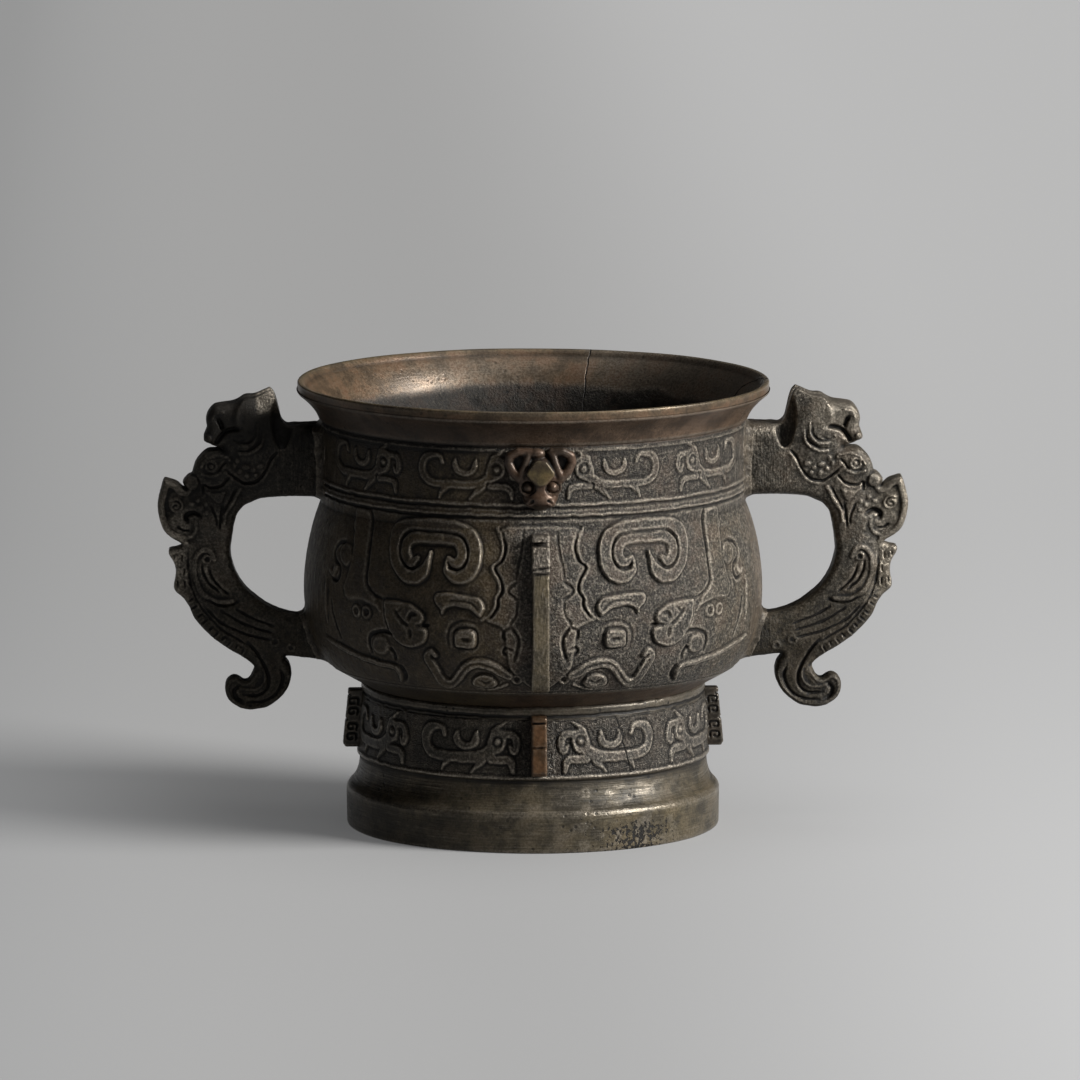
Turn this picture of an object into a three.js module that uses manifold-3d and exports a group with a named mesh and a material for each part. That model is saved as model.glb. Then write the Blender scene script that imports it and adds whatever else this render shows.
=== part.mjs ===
// Cast bronze censer: a footed bowl with two beast-head loop handles.
// Millimetres, +Z up, origin at the middle of the foot's underside, front towards -Y.

import * as THREE from "three";
import { mergeVertices } from "three/addons/utils/BufferGeometryUtils.js";
import Module from "manifold-3d";

// Driving dimensions of the foot ring, from the collar down
const COLLAR_RADIUS = 56.8;
const COLLAR_HEIGHT = 4.2;
const BAND_PROUD = 0.5; // beyond the collar
const BAND_TAPER = 1.2;
const BAND_HEIGHT = 19.8;
const BAND_STEP = 0.6; // beyond the top of the cove
const COVE_HEIGHT = 10.8;
const PLINTH_REACH = 4.3; // beyond the top of the cove
const PLINTH_HEIGHT = 13;
const PLINTH_CHAMFER = 0.8;
const FOOT_WALL = 4.6;

// Driving dimensions of the bowl, from the foot up
const UNDERSIDE_HEIGHT = 6.2;
const UNDERSIDE_REACH = 11; // beyond the collar
const BELLY_RADIUS = 76.4;
const BELLY_RISE = 25.2;
const SHOULDER_RISE = 29.5;
const NECK_RADIUS = 70.6;
const NECK_HEIGHT = 25;
const FLARE_HEIGHT = 11.3;
const FLARE_REACH = 7.2;
const LIP_RADIUS = 78.4;
const LIP_HEIGHT = 3.7;
const LIP_EDGE = 1.5;
const WALL = 4.2;
const FLOOR_THICKNESS = 4.6;
const FLOOR_RADIUS = 46;
const LOCATING_RING_DEPTH = 3.6;
const LOCATING_RING_WALL = 3.2;

// Driving dimensions of the loop handles
const UPPER_ARM_RISE = 13.6; // from the foot of the neck to the arm's middle
const UPPER_ARM_HEIGHT = 23;
const UPPER_ARM_THICKNESS = 18;
const LOWER_ARM_DROP = 16; // from the belly's widest line to the arm's middle
const LOWER_ARM_HEIGHT = 15.4;
const LOWER_ARM_THICKNESS = 13;
const LOOP_REACH = 33; // from the belly's widest line to the loop's outermost middle
const LOOP_WIDTH = 16.6;
const LOOP_THICKNESS = 13;
const UPPER_TURN = 22;
const LOWER_TURN_REACH = 28;
const LOWER_TURN_RISE = 26;
const UPPER_TENON_HEIGHT = 11;
const UPPER_TENON_THICKNESS = 8;
const LOWER_TENON_HEIGHT = 7;
const LOWER_TENON_THICKNESS = 6;
const TENON_ROOT = 6;

// Driving dimensions of the beast head on each handle
const SKULL_SIZE = new THREE.Vector3(23, 19, 15);
const SKULL_BACK = 11.4;
const SKULL_RISE = 11.2;
const SNOUT_SIZE = new THREE.Vector3(11, 15, 12);
const SNOUT_BACK = 5.4;
const SNOUT_RISE = 11.2;
const JAW_SIZE = new THREE.Vector3(20, 14, 10);
const JAW_BACK = 9;
const JAW_RISE = 5;
const EAR_HEIGHT = 16;
const EAR_LENGTH = 16;
const EAR_THICKNESS = 4.5;
const EAR_BACK = 24.6;
const EAR_RISE = 9.2;
const EAR_SPREAD = 6.6;
const KNOB_RADIUS = 2.8;
const KNOB_REACH = 6;
const KNOB_DROP = 8.6;

// Driving dimensions of the wing, the fins and the pendant hook on each handle
const WING_THICKNESS = 9;
const WING_TIP_REACH = 13.4;
const WING_TIP_RISE = 23.6;
const WING_BULGE_REACH = 19.8;
const WING_BULGE_RISE = 11;
const WING_HEEL_REACH = 7.4;
const WING_HEEL_RISE = 2.4;
const WING_ROOT_RISE = 27;
const FIN_THICKNESS = 8;
const FIN_REACH = 12;
const FIN_WAIST_REACH = 9.4;
const FIN_LOWER_REACH = 10.4;
const FIN_UPPER_DROP = 0.6;
const FIN_LOWER_DROP = 13.4;
const FIN_HEEL_DROP = 21;
const HOOK_THICKNESS = 9;
const HOOK_DROP = 24.6;
const HOOK_REACH = 21.4;
const HOOK_STEM = 11.4;
const HOOK_TIP_DROP = 13.7;
const HOOK_THROAT_DIP = 2;

// Driving dimensions of the solder, the masks and the flanges
const SOLDER_WIDTH = 2.2;
const SOLDER_HEIGHT = 2.4;
const MASK_RISE = 16.4; // from the foot of the neck to the middle of the brow
const MASK_WIDTH = 15;
const MASK_HEIGHT = 20;
const MASK_PROUD = 5.4;
const HORN_RADIUS = 4.6;
const HORN_BAND = 1.5;
const HORN_SPREAD = 5.9;
const HORN_RISE = 4.8;
const MASK_EYE_RADIUS = 2.5;
const MASK_EYE_SPREAD = 3.7;
const MASK_EYE_DROP = 2.6;
const MASK_SNOUT_RADIUS = 4.4;
const MASK_SNOUT_DROP = 6.4;
const MASK_STUD_RADIUS = 2.6;
const FLANGE_THICKNESS = 6;
const FLANGE_SEAT = 1.3;
const BELLY_FLANGE_PROUD = 4;
const BELLY_FLANGE_HEAD_PROUD = 5.2;
const BELLY_FLANGE_HEAD = 13.5;
const BELLY_FLANGE_TOP_DROP = 1; // below the foot of the neck
const BELLY_FLANGE_FOOT_RISE = 1.2; // above the turn of the underside
const FOOT_FLANGE_THICKNESS = 5.4;
const FOOT_FLANGE_UPPER_PROUD = 4.8;
const FOOT_FLANGE_LOWER_PROUD = 5.4;
const FOOT_FLANGE_FOOT_RISE = 1.9; // above the band's lower edge
const FOOT_FLANGE_TOP_RISE = 1.9; // above the band's upper edge

// Driving dimensions of the relief on the belly
const RELIEF_PROUD = 0.9;
const RELIEF_ROOT = 1; // let into the wall
const HORN_STRIPE = 4.2;
const HORN_INNER_STRIPE = 3;
const JAW_STRIPE = 2.8;
const SWEEP_STRIPE = 2;
const EYE_STRIPE = 5.6;

// Clearances
const GAP = 0.3;
const TENON_SHORT = 0.4;

// Fineness of the round shapes
const TURN_SEGMENTS = 60;
const CURVE_POINTS = 5;
const LOOP_STEPS = 22;
const TUBE_SIDES = 16;
const BALL_SEGMENTS = 12;
const BALL_RINGS = 8;
const STRIPE_STEPS = 16;
const RELIEF_EDGE = 8;

// Radii that follow from the collar
const BAND_UPPER_RADIUS = COLLAR_RADIUS + BAND_PROUD;
const BAND_LOWER_RADIUS = BAND_UPPER_RADIUS + BAND_TAPER;
const COVE_TOP_RADIUS = BAND_LOWER_RADIUS - BAND_STEP;
const PLINTH_RADIUS = COVE_TOP_RADIUS + PLINTH_REACH;
const BELLY_LOWER_RADIUS = COLLAR_RADIUS + UNDERSIDE_REACH;

// Heights above the table
const BAND_FOOT = PLINTH_HEIGHT + COVE_HEIGHT;
const BAND_TOP = BAND_FOOT + BAND_HEIGHT;
const FOOT_TOP = BAND_TOP + COLLAR_HEIGHT;
const BOWL_FOOT = FOOT_TOP + GAP;
const BELLY_TURN = BOWL_FOOT + UNDERSIDE_HEIGHT;
const BELLY_WIDEST = BELLY_TURN + BELLY_RISE;
const NECK_FOOT = BELLY_WIDEST + SHOULDER_RISE;
const NECK_TOP = NECK_FOOT + NECK_HEIGHT;
const LIP_FOOT = NECK_TOP + FLARE_HEIGHT;
const RIM = LIP_FOOT + LIP_HEIGHT;
const BOWL_FLOOR = BOWL_FOOT + FLOOR_THICKNESS;
const UPPER_ARM = NECK_FOOT + UPPER_ARM_RISE;
const LOWER_ARM = BELLY_WIDEST - LOWER_ARM_DROP;
const LOOP_MIDDLE = (UPPER_ARM + LOWER_ARM) / 2;
const LOOP_OUT = BELLY_RADIUS + LOOP_REACH;
const MASK_MIDDLE = NECK_FOOT + MASK_RISE;

// Directions that the pieces face, as turns about the vertical from +X
const RIGHT = 0;
const BACK = Math.PI / 2;
const LEFT = Math.PI;
const FRONT = -Math.PI / 2;

const wasm = await Module();
wasm.setup();

// A closed geometry as a solid that can be joined and cut
function solid(geometry) {
  const loose = geometry.index ? geometry.toNonIndexed() : geometry;
  const bare = new THREE.BufferGeometry();
  bare.setAttribute("position", loose.getAttribute("position"));
  const merged = mergeVertices(bare, 1e-4);
  const corners = merged.index.array;
  const triVerts = [];
  for (let i = 0; i < corners.length; i += 3) {
    const [a, b, c] = corners.slice(i, i + 3);
    if (a !== b && b !== c && c !== a) triVerts.push(a, b, c);
  }
  return new wasm.Manifold(
    new wasm.Mesh({
      numProp: 3,
      vertProperties: merged.getAttribute("position").array,
      triVerts: new Uint32Array(triVerts),
    }),
  );
}

// A solid back as a geometry
function geometryOf(made) {
  const { vertProperties, triVerts } = made.getMesh();
  const geometry = new THREE.BufferGeometry();
  geometry.setAttribute("position", new THREE.BufferAttribute(vertProperties, 3));
  geometry.setIndex(new THREE.BufferAttribute(triVerts, 1));
  geometry.computeVertexNormals();
  return geometry;
}

// A profile of radius and height turned about the vertical axis
function turned(profile) {
  return new THREE.LatheGeometry(profile, TURN_SEGMENTS).rotateX(Math.PI / 2);
}

// An outline in the XZ plane as a plate centred on that plane
function plate(shape, thickness) {
  const options = { depth: thickness, bevelEnabled: false, curveSegments: CURVE_POINTS };
  return new THREE.ExtrudeGeometry(shape, options).translate(0, 0, -thickness / 2).rotateX(Math.PI / 2);
}

// A ball stretched to a size and set at a place
function ball(size, x, y, z) {
  return new THREE.SphereGeometry(0.5, BALL_SEGMENTS, BALL_RINGS)
    .rotateX(Math.PI / 2)
    .scale(size.x, size.y, size.z)
    .translate(x, y, z);
}

// A round ball of one radius
function roundBall(radius, x, y, z) {
  return ball(new THREE.Vector3(2 * radius, 2 * radius, 2 * radius), x, y, z);
}

// A closed tube along a path in the XZ plane, with an elliptical section that changes on the way
function loft(path, steps, halfHeightAt, halfThicknessAt) {
  const positions = [];
  const index = [];
  for (let i = 0; i <= steps; i++) {
    const share = i / steps;
    const centre = path.getPoint(share);
    const along = path.getTangent(share);
    for (let k = 0; k < TUBE_SIDES; k++) {
      const angle = (2 * Math.PI * k) / TUBE_SIDES;
      const up = halfHeightAt(share) * Math.cos(angle);
      const side = halfThicknessAt(share) * Math.sin(angle);
      positions.push(centre.x - along.y * up, side, centre.y + along.x * up);
    }
  }
  const start = path.getPoint(0);
  const end = path.getPoint(1);
  const startCap = (steps + 1) * TUBE_SIDES;
  const endCap = startCap + 1;
  const lastRing = steps * TUBE_SIDES;
  positions.push(start.x, 0, start.y, end.x, 0, end.y);
  for (let k = 0; k < TUBE_SIDES; k++) {
    const next = (k + 1) % TUBE_SIDES;
    index.push(startCap, k, next);
    index.push(endCap, lastRing + next, lastRing + k);
    for (let i = 0; i < steps; i++) {
      const ring = i * TUBE_SIDES;
      const ahead = ring + TUBE_SIDES;
      index.push(ring + k, ahead + k, ring + next);
      index.push(ahead + k, ahead + next, ring + next);
    }
  }
  const geometry = new THREE.BufferGeometry();
  geometry.setAttribute("position", new THREE.Float32BufferAttribute(positions, 3));
  geometry.setIndex(index);
  return geometry;
}

// Places of the relief on one quarter of the belly, as degrees round from the flange and hundredths of its height
const RELIEF_LINES = [
  {
    width: HORN_STRIPE,
    places: [
      [24, 79],
      [22.5, 72],
      [20, 70],
      [17.5, 74],
      [16, 84],
      [17.5, 97],
      [22, 101],
      [32.5, 101],
      [38, 98],
      [39.5, 87],
      [38.5, 75],
      [34.5, 69.5],
      [30.5, 72],
      [28.5, 84],
    ],
  },
  {
    width: HORN_INNER_STRIPE,
    places: [
      [22.5, 80],
      [20.5, 80],
      [19.5, 86],
      [21, 93],
      [25, 95],
      [32, 94.5],
      [35.5, 90],
      [35.5, 82],
      [33, 79],
    ],
  },
  {
    width: JAW_STRIPE,
    places: [
      [7.5, 13],
      [12, 19],
      [16, 20],
      [19.5, 14.5],
      [22, 7.5],
      [24.5, 8],
      [27, 16],
      [28.5, 24],
    ],
  },
  {
    width: SWEEP_STRIPE,
    places: [
      [64.5, 23],
      [52.5, 18],
      [43.5, 15.5],
      [38.5, 15.5],
      [35.5, 7],
    ],
  },
  {
    width: EYE_STRIPE,
    places: [
      [16.5, 35.5],
      [21, 35.5],
    ],
  },
];
const RELIEF_PLATES = {
  forehead: [
    [0, 99],
    [9.5, 99],
    [8.5, 91],
    [11, 78],
    [9, 65],
    [10.5, 56],
    [13.5, 47],
    [9.5, 40],
    [9.5, 22],
    [0, 20],
  ],
  brow: [
    [14.5, 49.5],
    [14, 54.5],
    [15.5, 60],
    [20, 61.5],
    [26, 61.5],
    [27, 58],
    [25, 49.5],
    [22, 54.5],
    [18, 53],
  ],
  ear: [
    [41.5, 54.5],
    [34.5, 54.5],
    [30.5, 49.5],
    [30, 42],
    [29, 37],
    [31.5, 28.5],
    [36, 29],
    [40, 38],
  ],
  column: [
    [47.5, 100],
    [46.5, 91],
    [48, 71],
    [47.5, 63],
    [43, 56.5],
    [49, 52],
    [54.5, 52],
    [55.5, 57],
    [53, 71],
    [52.5, 100],
  ],
  comma: [
    [53.5, 77],
    [55.5, 83],
    [58, 80],
    [60.5, 73],
    [57, 67],
    [57.5, 73],
  ],
};

// The bowl's outer wall as radius and height, from the foot to the rim
function outerWall() {
  const wall = new THREE.Path();
  wall.moveTo(COLLAR_RADIUS, BOWL_FOOT);
  wall.lineTo(BELLY_LOWER_RADIUS, BELLY_TURN);
  wall.quadraticCurveTo(BELLY_RADIUS, BELLY_TURN + BELLY_RISE / 3, BELLY_RADIUS, BELLY_WIDEST);
  wall.quadraticCurveTo(BELLY_RADIUS, BELLY_WIDEST + SHOULDER_RISE / 2, NECK_RADIUS, NECK_FOOT);
  wall.lineTo(NECK_RADIUS, NECK_TOP);
  wall.quadraticCurveTo(NECK_RADIUS, NECK_TOP + FLARE_HEIGHT / 2, NECK_RADIUS + FLARE_REACH, LIP_FOOT);
  wall.lineTo(LIP_RADIUS, LIP_FOOT);
  wall.lineTo(LIP_RADIUS, RIM);
  return wall.getPoints(CURVE_POINTS);
}

// The bowl's inner wall as radius and height, from the rim down to the floor's edge
function innerWall() {
  const wall = new THREE.Path();
  const bellyInside = BELLY_RADIUS - WALL;
  const neckInside = NECK_RADIUS - WALL;
  wall.moveTo(LIP_RADIUS - LIP_EDGE, RIM);
  wall.lineTo(neckInside, NECK_TOP);
  wall.lineTo(neckInside, NECK_FOOT);
  wall.quadraticCurveTo(bellyInside, BELLY_WIDEST + SHOULDER_RISE / 2, bellyInside, BELLY_WIDEST);
  wall.quadraticCurveTo(bellyInside, BOWL_FLOOR, FLOOR_RADIUS, BOWL_FLOOR);
  return wall.getPoints(CURVE_POINTS);
}

// Radius of a wall at a height, along its points
function radiusAt(points, height) {
  for (let i = 1; i < points.length; i++) {
    const low = points[i - 1];
    const high = points[i];
    const share = (height - low.y) / (high.y - low.y);
    if (share >= 0 && share <= 1) return low.x + share * (high.x - low.x);
  }
  return points[0].x;
}

const OUTER = outerWall();
const INNER = innerWall();

// The space that the bowl fills and encloses, grown outwards
function bowlSpace(grow) {
  const rim = OUTER.at(-1).y;
  const wall = OUTER.map((p) => new THREE.Vector2(p.x + grow, p.y));
  const axisFoot = new THREE.Vector2(0, OUTER[0].y);
  return solid(turned([axisFoot, ...wall, new THREE.Vector2(0, rim)]));
}

// The hollow of the bowl, grown into its wall
function bowlHollow(grow) {
  const wall = INNER.map((p) => new THREE.Vector2(p.x + grow, p.y)).reverse();
  const axisFloor = new THREE.Vector2(0, BOWL_FLOOR);
  return solid(turned([axisFloor, ...wall, new THREE.Vector2(0, RIM)]));
}

// The two arms of a handle where they meet the wall
const ARMS = {
  upper: {
    middle: UPPER_ARM,
    halfHeight: UPPER_ARM_HEIGHT / 2,
    halfThickness: UPPER_ARM_THICKNESS / 2,
    tenonHeight: UPPER_TENON_HEIGHT,
    tenonThickness: UPPER_TENON_THICKNESS,
  },
  lower: {
    middle: LOWER_ARM,
    halfHeight: LOWER_ARM_HEIGHT / 2,
    halfThickness: LOWER_ARM_THICKNESS / 2,
    tenonHeight: LOWER_TENON_HEIGHT,
    tenonThickness: LOWER_TENON_THICKNESS,
  },
};

// A straight sleeve round an arm, through the wall
function armSleeve(arm, grow) {
  const path = new THREE.LineCurve(
    new THREE.Vector2(FLOOR_RADIUS, arm.middle),
    new THREE.Vector2(LOOP_OUT, arm.middle),
  );
  const halfHeight = () => arm.halfHeight + grow;
  const halfThickness = () => arm.halfThickness + grow;
  return solid(loft(path, 1, halfHeight, halfThickness));
}

// A block of an arm's tenon, from the hollow of the bowl into the arm
function tenonBlock(arm, grow) {
  const inner = FLOOR_RADIUS;
  const outer = radiusAt(OUTER, arm.middle) + TENON_ROOT;
  return new THREE.BoxGeometry(outer - inner, arm.tenonThickness + 2 * grow, arm.tenonHeight + 2 * grow).translate(
    (inner + outer) / 2,
    0,
    arm.middle,
  );
}

// The handle's loop from wall to wall, with its section from one arm to the other
function handleLoop() {
  const path = new THREE.Path();
  const upperTurnX = LOOP_OUT - UPPER_TURN;
  const lowerTurnX = LOOP_OUT - LOWER_TURN_REACH;
  path.moveTo(radiusAt(OUTER, UPPER_ARM) - WALL / 2, UPPER_ARM);
  path.lineTo(upperTurnX, UPPER_ARM);
  path.absellipse(upperTurnX, UPPER_ARM - UPPER_TURN, UPPER_TURN, UPPER_TURN, Math.PI / 2, 0, true);
  path.lineTo(LOOP_OUT, LOWER_ARM + LOWER_TURN_RISE);
  path.absellipse(
    lowerTurnX,
    LOWER_ARM + LOWER_TURN_RISE,
    LOWER_TURN_REACH,
    LOWER_TURN_RISE,
    0,
    -Math.PI / 2,
    true,
  );
  path.lineTo(radiusAt(OUTER, LOWER_ARM) - WALL, LOWER_ARM);
  const swell = (upper, middle, lower) => (share) => {
    const first = THREE.MathUtils.smoothstep(share, 0.2, 0.5);
    const second = THREE.MathUtils.smoothstep(share, 0.5, 0.85);
    return (upper + (middle - upper) * first + (lower - middle) * second) / 2;
  };
  return loft(
    path,
    LOOP_STEPS,
    swell(UPPER_ARM_HEIGHT, LOOP_WIDTH, LOWER_ARM_HEIGHT),
    swell(UPPER_ARM_THICKNESS, LOOP_THICKNESS, LOWER_ARM_THICKNESS),
  );
}

// One ear, a leaf that leans out to its side
function ear(side) {
  const leaf = new THREE.Shape();
  leaf.moveTo(0, 0);
  leaf.quadraticCurveTo(0, EAR_HEIGHT * 0.6, EAR_LENGTH / 4, EAR_HEIGHT);
  leaf.quadraticCurveTo(EAR_LENGTH / 2, EAR_HEIGHT * 0.75, EAR_LENGTH, EAR_HEIGHT / 2);
  leaf.lineTo(EAR_LENGTH, 0);
  return plate(leaf, EAR_THICKNESS).translate(LOOP_OUT - EAR_BACK, side * EAR_SPREAD, UPPER_ARM + EAR_RISE);
}

// The wing that curls out from the loop's upper turn
function wing() {
  const outline = new THREE.Shape();
  outline.moveTo(0, WING_ROOT_RISE);
  outline.quadraticCurveTo(WING_HEEL_REACH, WING_TIP_RISE - LOOP_WIDTH / 4, WING_TIP_REACH, WING_TIP_RISE);
  outline.quadraticCurveTo(WING_BULGE_REACH, WING_BULGE_RISE, WING_HEEL_REACH, WING_HEEL_RISE);
  outline.lineTo(0, WING_HEEL_RISE);
  return plate(outline, WING_THICKNESS).translate(LOOP_OUT, 0, LOOP_MIDDLE);
}

// The pair of fins below the wing
function fins() {
  const outline = new THREE.Shape();
  const waistDrop = (FIN_UPPER_DROP + FIN_LOWER_DROP) / 2;
  outline.moveTo(0, 0);
  outline.lineTo(FIN_REACH, -FIN_UPPER_DROP);
  outline.quadraticCurveTo(FIN_WAIST_REACH, -waistDrop, FIN_LOWER_REACH, -FIN_LOWER_DROP);
  outline.quadraticCurveTo(LOOP_WIDTH / 2, -FIN_LOWER_DROP, LOOP_WIDTH / 4, -FIN_HEEL_DROP);
  outline.lineTo(0, -FIN_HEEL_DROP);
  return plate(outline, FIN_THICKNESS).translate(LOOP_OUT, 0, LOOP_MIDDLE);
}

// The pendant that hangs from the lower arm and curls outwards
function hook() {
  const outline = new THREE.Shape();
  const tipReach = HOOK_REACH - (HOOK_REACH - HOOK_STEM) / 3;
  const throatReach = (HOOK_STEM + tipReach) / 2;
  outline.moveTo(0, 0);
  outline.bezierCurveTo(-HOOK_STEM / 4, -HOOK_DROP / 2, 0, -HOOK_DROP, HOOK_STEM, -HOOK_DROP);
  outline.quadraticCurveTo(HOOK_REACH, -HOOK_DROP, HOOK_REACH, (-HOOK_DROP - HOOK_TIP_DROP) / 2);
  outline.quadraticCurveTo(HOOK_REACH, -HOOK_TIP_DROP, tipReach, -HOOK_TIP_DROP);
  outline.quadraticCurveTo(throatReach, -HOOK_TIP_DROP - HOOK_THROAT_DIP, HOOK_STEM, -HOOK_TIP_DROP);
  outline.quadraticCurveTo(HOOK_STEM, -HOOK_TIP_DROP / 2, HOOK_STEM + LOWER_ARM_HEIGHT / 4, 0);
  return plate(outline, HOOK_THICKNESS).translate(LOOP_OUT - LOWER_TURN_REACH, 0, LOWER_ARM);
}

// A handle facing +X, cut to the wall, with its two tenons
function handle() {
  let made = solid(handleLoop());
  const headX = (back) => LOOP_OUT - back;
  const added = [
    ball(SKULL_SIZE, headX(SKULL_BACK), 0, UPPER_ARM + SKULL_RISE),
    ball(SNOUT_SIZE, headX(SNOUT_BACK), 0, UPPER_ARM + SNOUT_RISE),
    ball(JAW_SIZE, headX(JAW_BACK), 0, UPPER_ARM + JAW_RISE),
    ear(1),
    ear(-1),
    roundBall(KNOB_RADIUS, LOOP_OUT + KNOB_REACH, 0, UPPER_ARM - KNOB_DROP),
    wing(),
    fins(),
    hook(),
  ];
  added.forEach((geometry) => {
    made = made.add(solid(geometry));
  });
  made = made.subtract(bowlSpace(GAP));
  Object.values(ARMS).forEach((arm) => {
    made = made.add(solid(tenonBlock(arm, 0)));
  });
  return geometryOf(made.subtract(bowlHollow(TENON_SHORT)));
}

// The solder in the corner between an arm and the wall
function solderCollar(arm) {
  const bead = armSleeve(arm, SOLDER_WIDTH).intersect(bowlSpace(SOLDER_HEIGHT));
  return geometryOf(bead.subtract(armSleeve(arm, GAP)).subtract(bowlSpace(GAP)));
}

// The stud at the back of a mask, along the radius from the bowl's hollow
function maskStud(grow) {
  const outer = NECK_RADIUS + MASK_PROUD / 2;
  const radius = MASK_STUD_RADIUS + grow;
  return new THREE.CylinderGeometry(radius, radius, outer - FLOOR_RADIUS, BALL_SEGMENTS)
    .rotateZ(Math.PI / 2)
    .translate((outer + FLOOR_RADIUS) / 2, 0, MASK_MIDDLE);
}

// A beast mask facing +X: brow, looped horns, eyes and snout, cut to the neck
function mask() {
  const face = new THREE.Vector3(2 * MASK_PROUD, MASK_WIDTH, MASK_HEIGHT);
  let made = solid(ball(face, NECK_RADIUS, 0, MASK_MIDDLE));
  const added = [
    roundBall(MASK_SNOUT_RADIUS, NECK_RADIUS + MASK_PROUD / 2, 0, MASK_MIDDLE - MASK_SNOUT_DROP),
  ];
  [-1, 1].forEach((side) => {
    added.push(
      new THREE.TorusGeometry(HORN_RADIUS, HORN_BAND, BALL_RINGS, BALL_SEGMENTS)
        .rotateY(Math.PI / 2)
        .translate(NECK_RADIUS + HORN_BAND, side * HORN_SPREAD, MASK_MIDDLE + HORN_RISE),
      roundBall(
        MASK_EYE_RADIUS,
        NECK_RADIUS + MASK_PROUD - MASK_EYE_RADIUS / 2,
        side * MASK_EYE_SPREAD,
        MASK_MIDDLE - MASK_EYE_DROP,
      ),
    );
  });
  added.forEach((geometry) => {
    made = made.add(solid(geometry));
  });
  made = made.subtract(bowlSpace(GAP)).add(solid(maskStud(0)));
  return geometryOf(made.subtract(bowlHollow(TENON_SHORT)));
}

// The belly flange in profile, with its head block, let into the wall
function bellyFlange(grow) {
  const top = NECK_FOOT - BELLY_FLANGE_TOP_DROP + grow;
  const foot = BELLY_TURN + BELLY_FLANGE_FOOT_RISE - grow;
  const headFoot = NECK_FOOT - BELLY_FLANGE_TOP_DROP - BELLY_FLANGE_HEAD;
  const between = OUTER.map((p) => p.y).filter((height) => height > foot + 1 && height < headFoot - 1);
  const edge = (height, proud) => new THREE.Vector2(radiusAt(OUTER, height) + proud, height);
  const seat = -FLANGE_SEAT - grow;
  const outward = [
    edge(foot, BELLY_FLANGE_PROUD),
    ...between.map((height) => edge(height, BELLY_FLANGE_PROUD)),
    edge(headFoot, BELLY_FLANGE_PROUD),
    edge(headFoot, BELLY_FLANGE_HEAD_PROUD),
    edge(top, BELLY_FLANGE_HEAD_PROUD),
  ];
  const inward = [top, headFoot, ...between.reverse(), foot].map((height) => edge(height, seat));
  return plate(new THREE.Shape([...outward, ...inward]), FLANGE_THICKNESS + 2 * grow);
}

// The foot flange in profile, let into the band
function footFlange(grow) {
  const slope = (BAND_UPPER_RADIUS - BAND_LOWER_RADIUS) / BAND_HEIGHT;
  const band = (height) => BAND_LOWER_RADIUS + slope * (height - BAND_FOOT);
  const foot = BAND_FOOT + FOOT_FLANGE_FOOT_RISE - grow;
  const top = BAND_TOP + FOOT_FLANGE_TOP_RISE + grow;
  const seat = Math.min(band(top), COLLAR_RADIUS) - FLANGE_SEAT - grow;
  const outline = new THREE.Shape([
    new THREE.Vector2(seat, foot),
    new THREE.Vector2(band(foot) + FOOT_FLANGE_LOWER_PROUD, foot),
    new THREE.Vector2(band(top) + FOOT_FLANGE_UPPER_PROUD, top),
    new THREE.Vector2(seat, top),
  ]);
  return plate(outline, FOOT_FLANGE_THICKNESS + 2 * grow);
}

// A place of the relief in millimetres round the wall and up from the table
function onBelly([degrees, hundredths]) {
  const around = THREE.MathUtils.degToRad(degrees) * BELLY_RADIUS;
  return new THREE.Vector2(around, BELLY_TURN + (hundredths / 100) * (NECK_FOOT - BELLY_TURN));
}

// The outline of a stripe of one width along a smooth line of places
function stripe({ width, places }) {
  const line = new THREE.SplineCurve(places.map(onBelly));
  const upper = [];
  const lower = [];
  for (let i = 0; i <= STRIPE_STEPS; i++) {
    const point = line.getPointAt(i / STRIPE_STEPS);
    const along = line.getTangentAt(i / STRIPE_STEPS);
    const aside = new THREE.Vector2(-along.y, along.x).multiplyScalar(width / 2);
    upper.push(point.clone().add(aside));
    lower.unshift(point.clone().sub(aside));
  }
  return [...upper, ...lower];
}

// An outline laid on the belly as a raised plate with its root in the wall
function laidOnBelly(outline) {
  const options = { depth: RELIEF_ROOT + RELIEF_PROUD, bevelEnabled: false };
  const flat = solid(new THREE.ExtrudeGeometry(new THREE.Shape(outline), options));
  return flat.refineToLength(RELIEF_EDGE).warp((point) => {
    const [around, height, out] = point;
    const radius = radiusAt(OUTER, height) + out - RELIEF_ROOT;
    const angle = around / BELLY_RADIUS;
    point[0] = radius * Math.sin(angle);
    point[1] = -radius * Math.cos(angle);
    point[2] = height;
  });
}

// The raised forms of the belly, one quarter drawn and then mirrored
function bellyRelief() {
  const outlines = RELIEF_LINES.map(stripe);
  Object.values(RELIEF_PLATES).forEach((places) => outlines.push(places.map(onBelly)));
  const quarter = wasm.Manifold.union(outlines.map(laidOnBelly));
  const half = quarter.add(quarter.mirror([1, 0, 0]));
  return half.add(half.rotate([0, 0, 180]));
}

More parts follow.
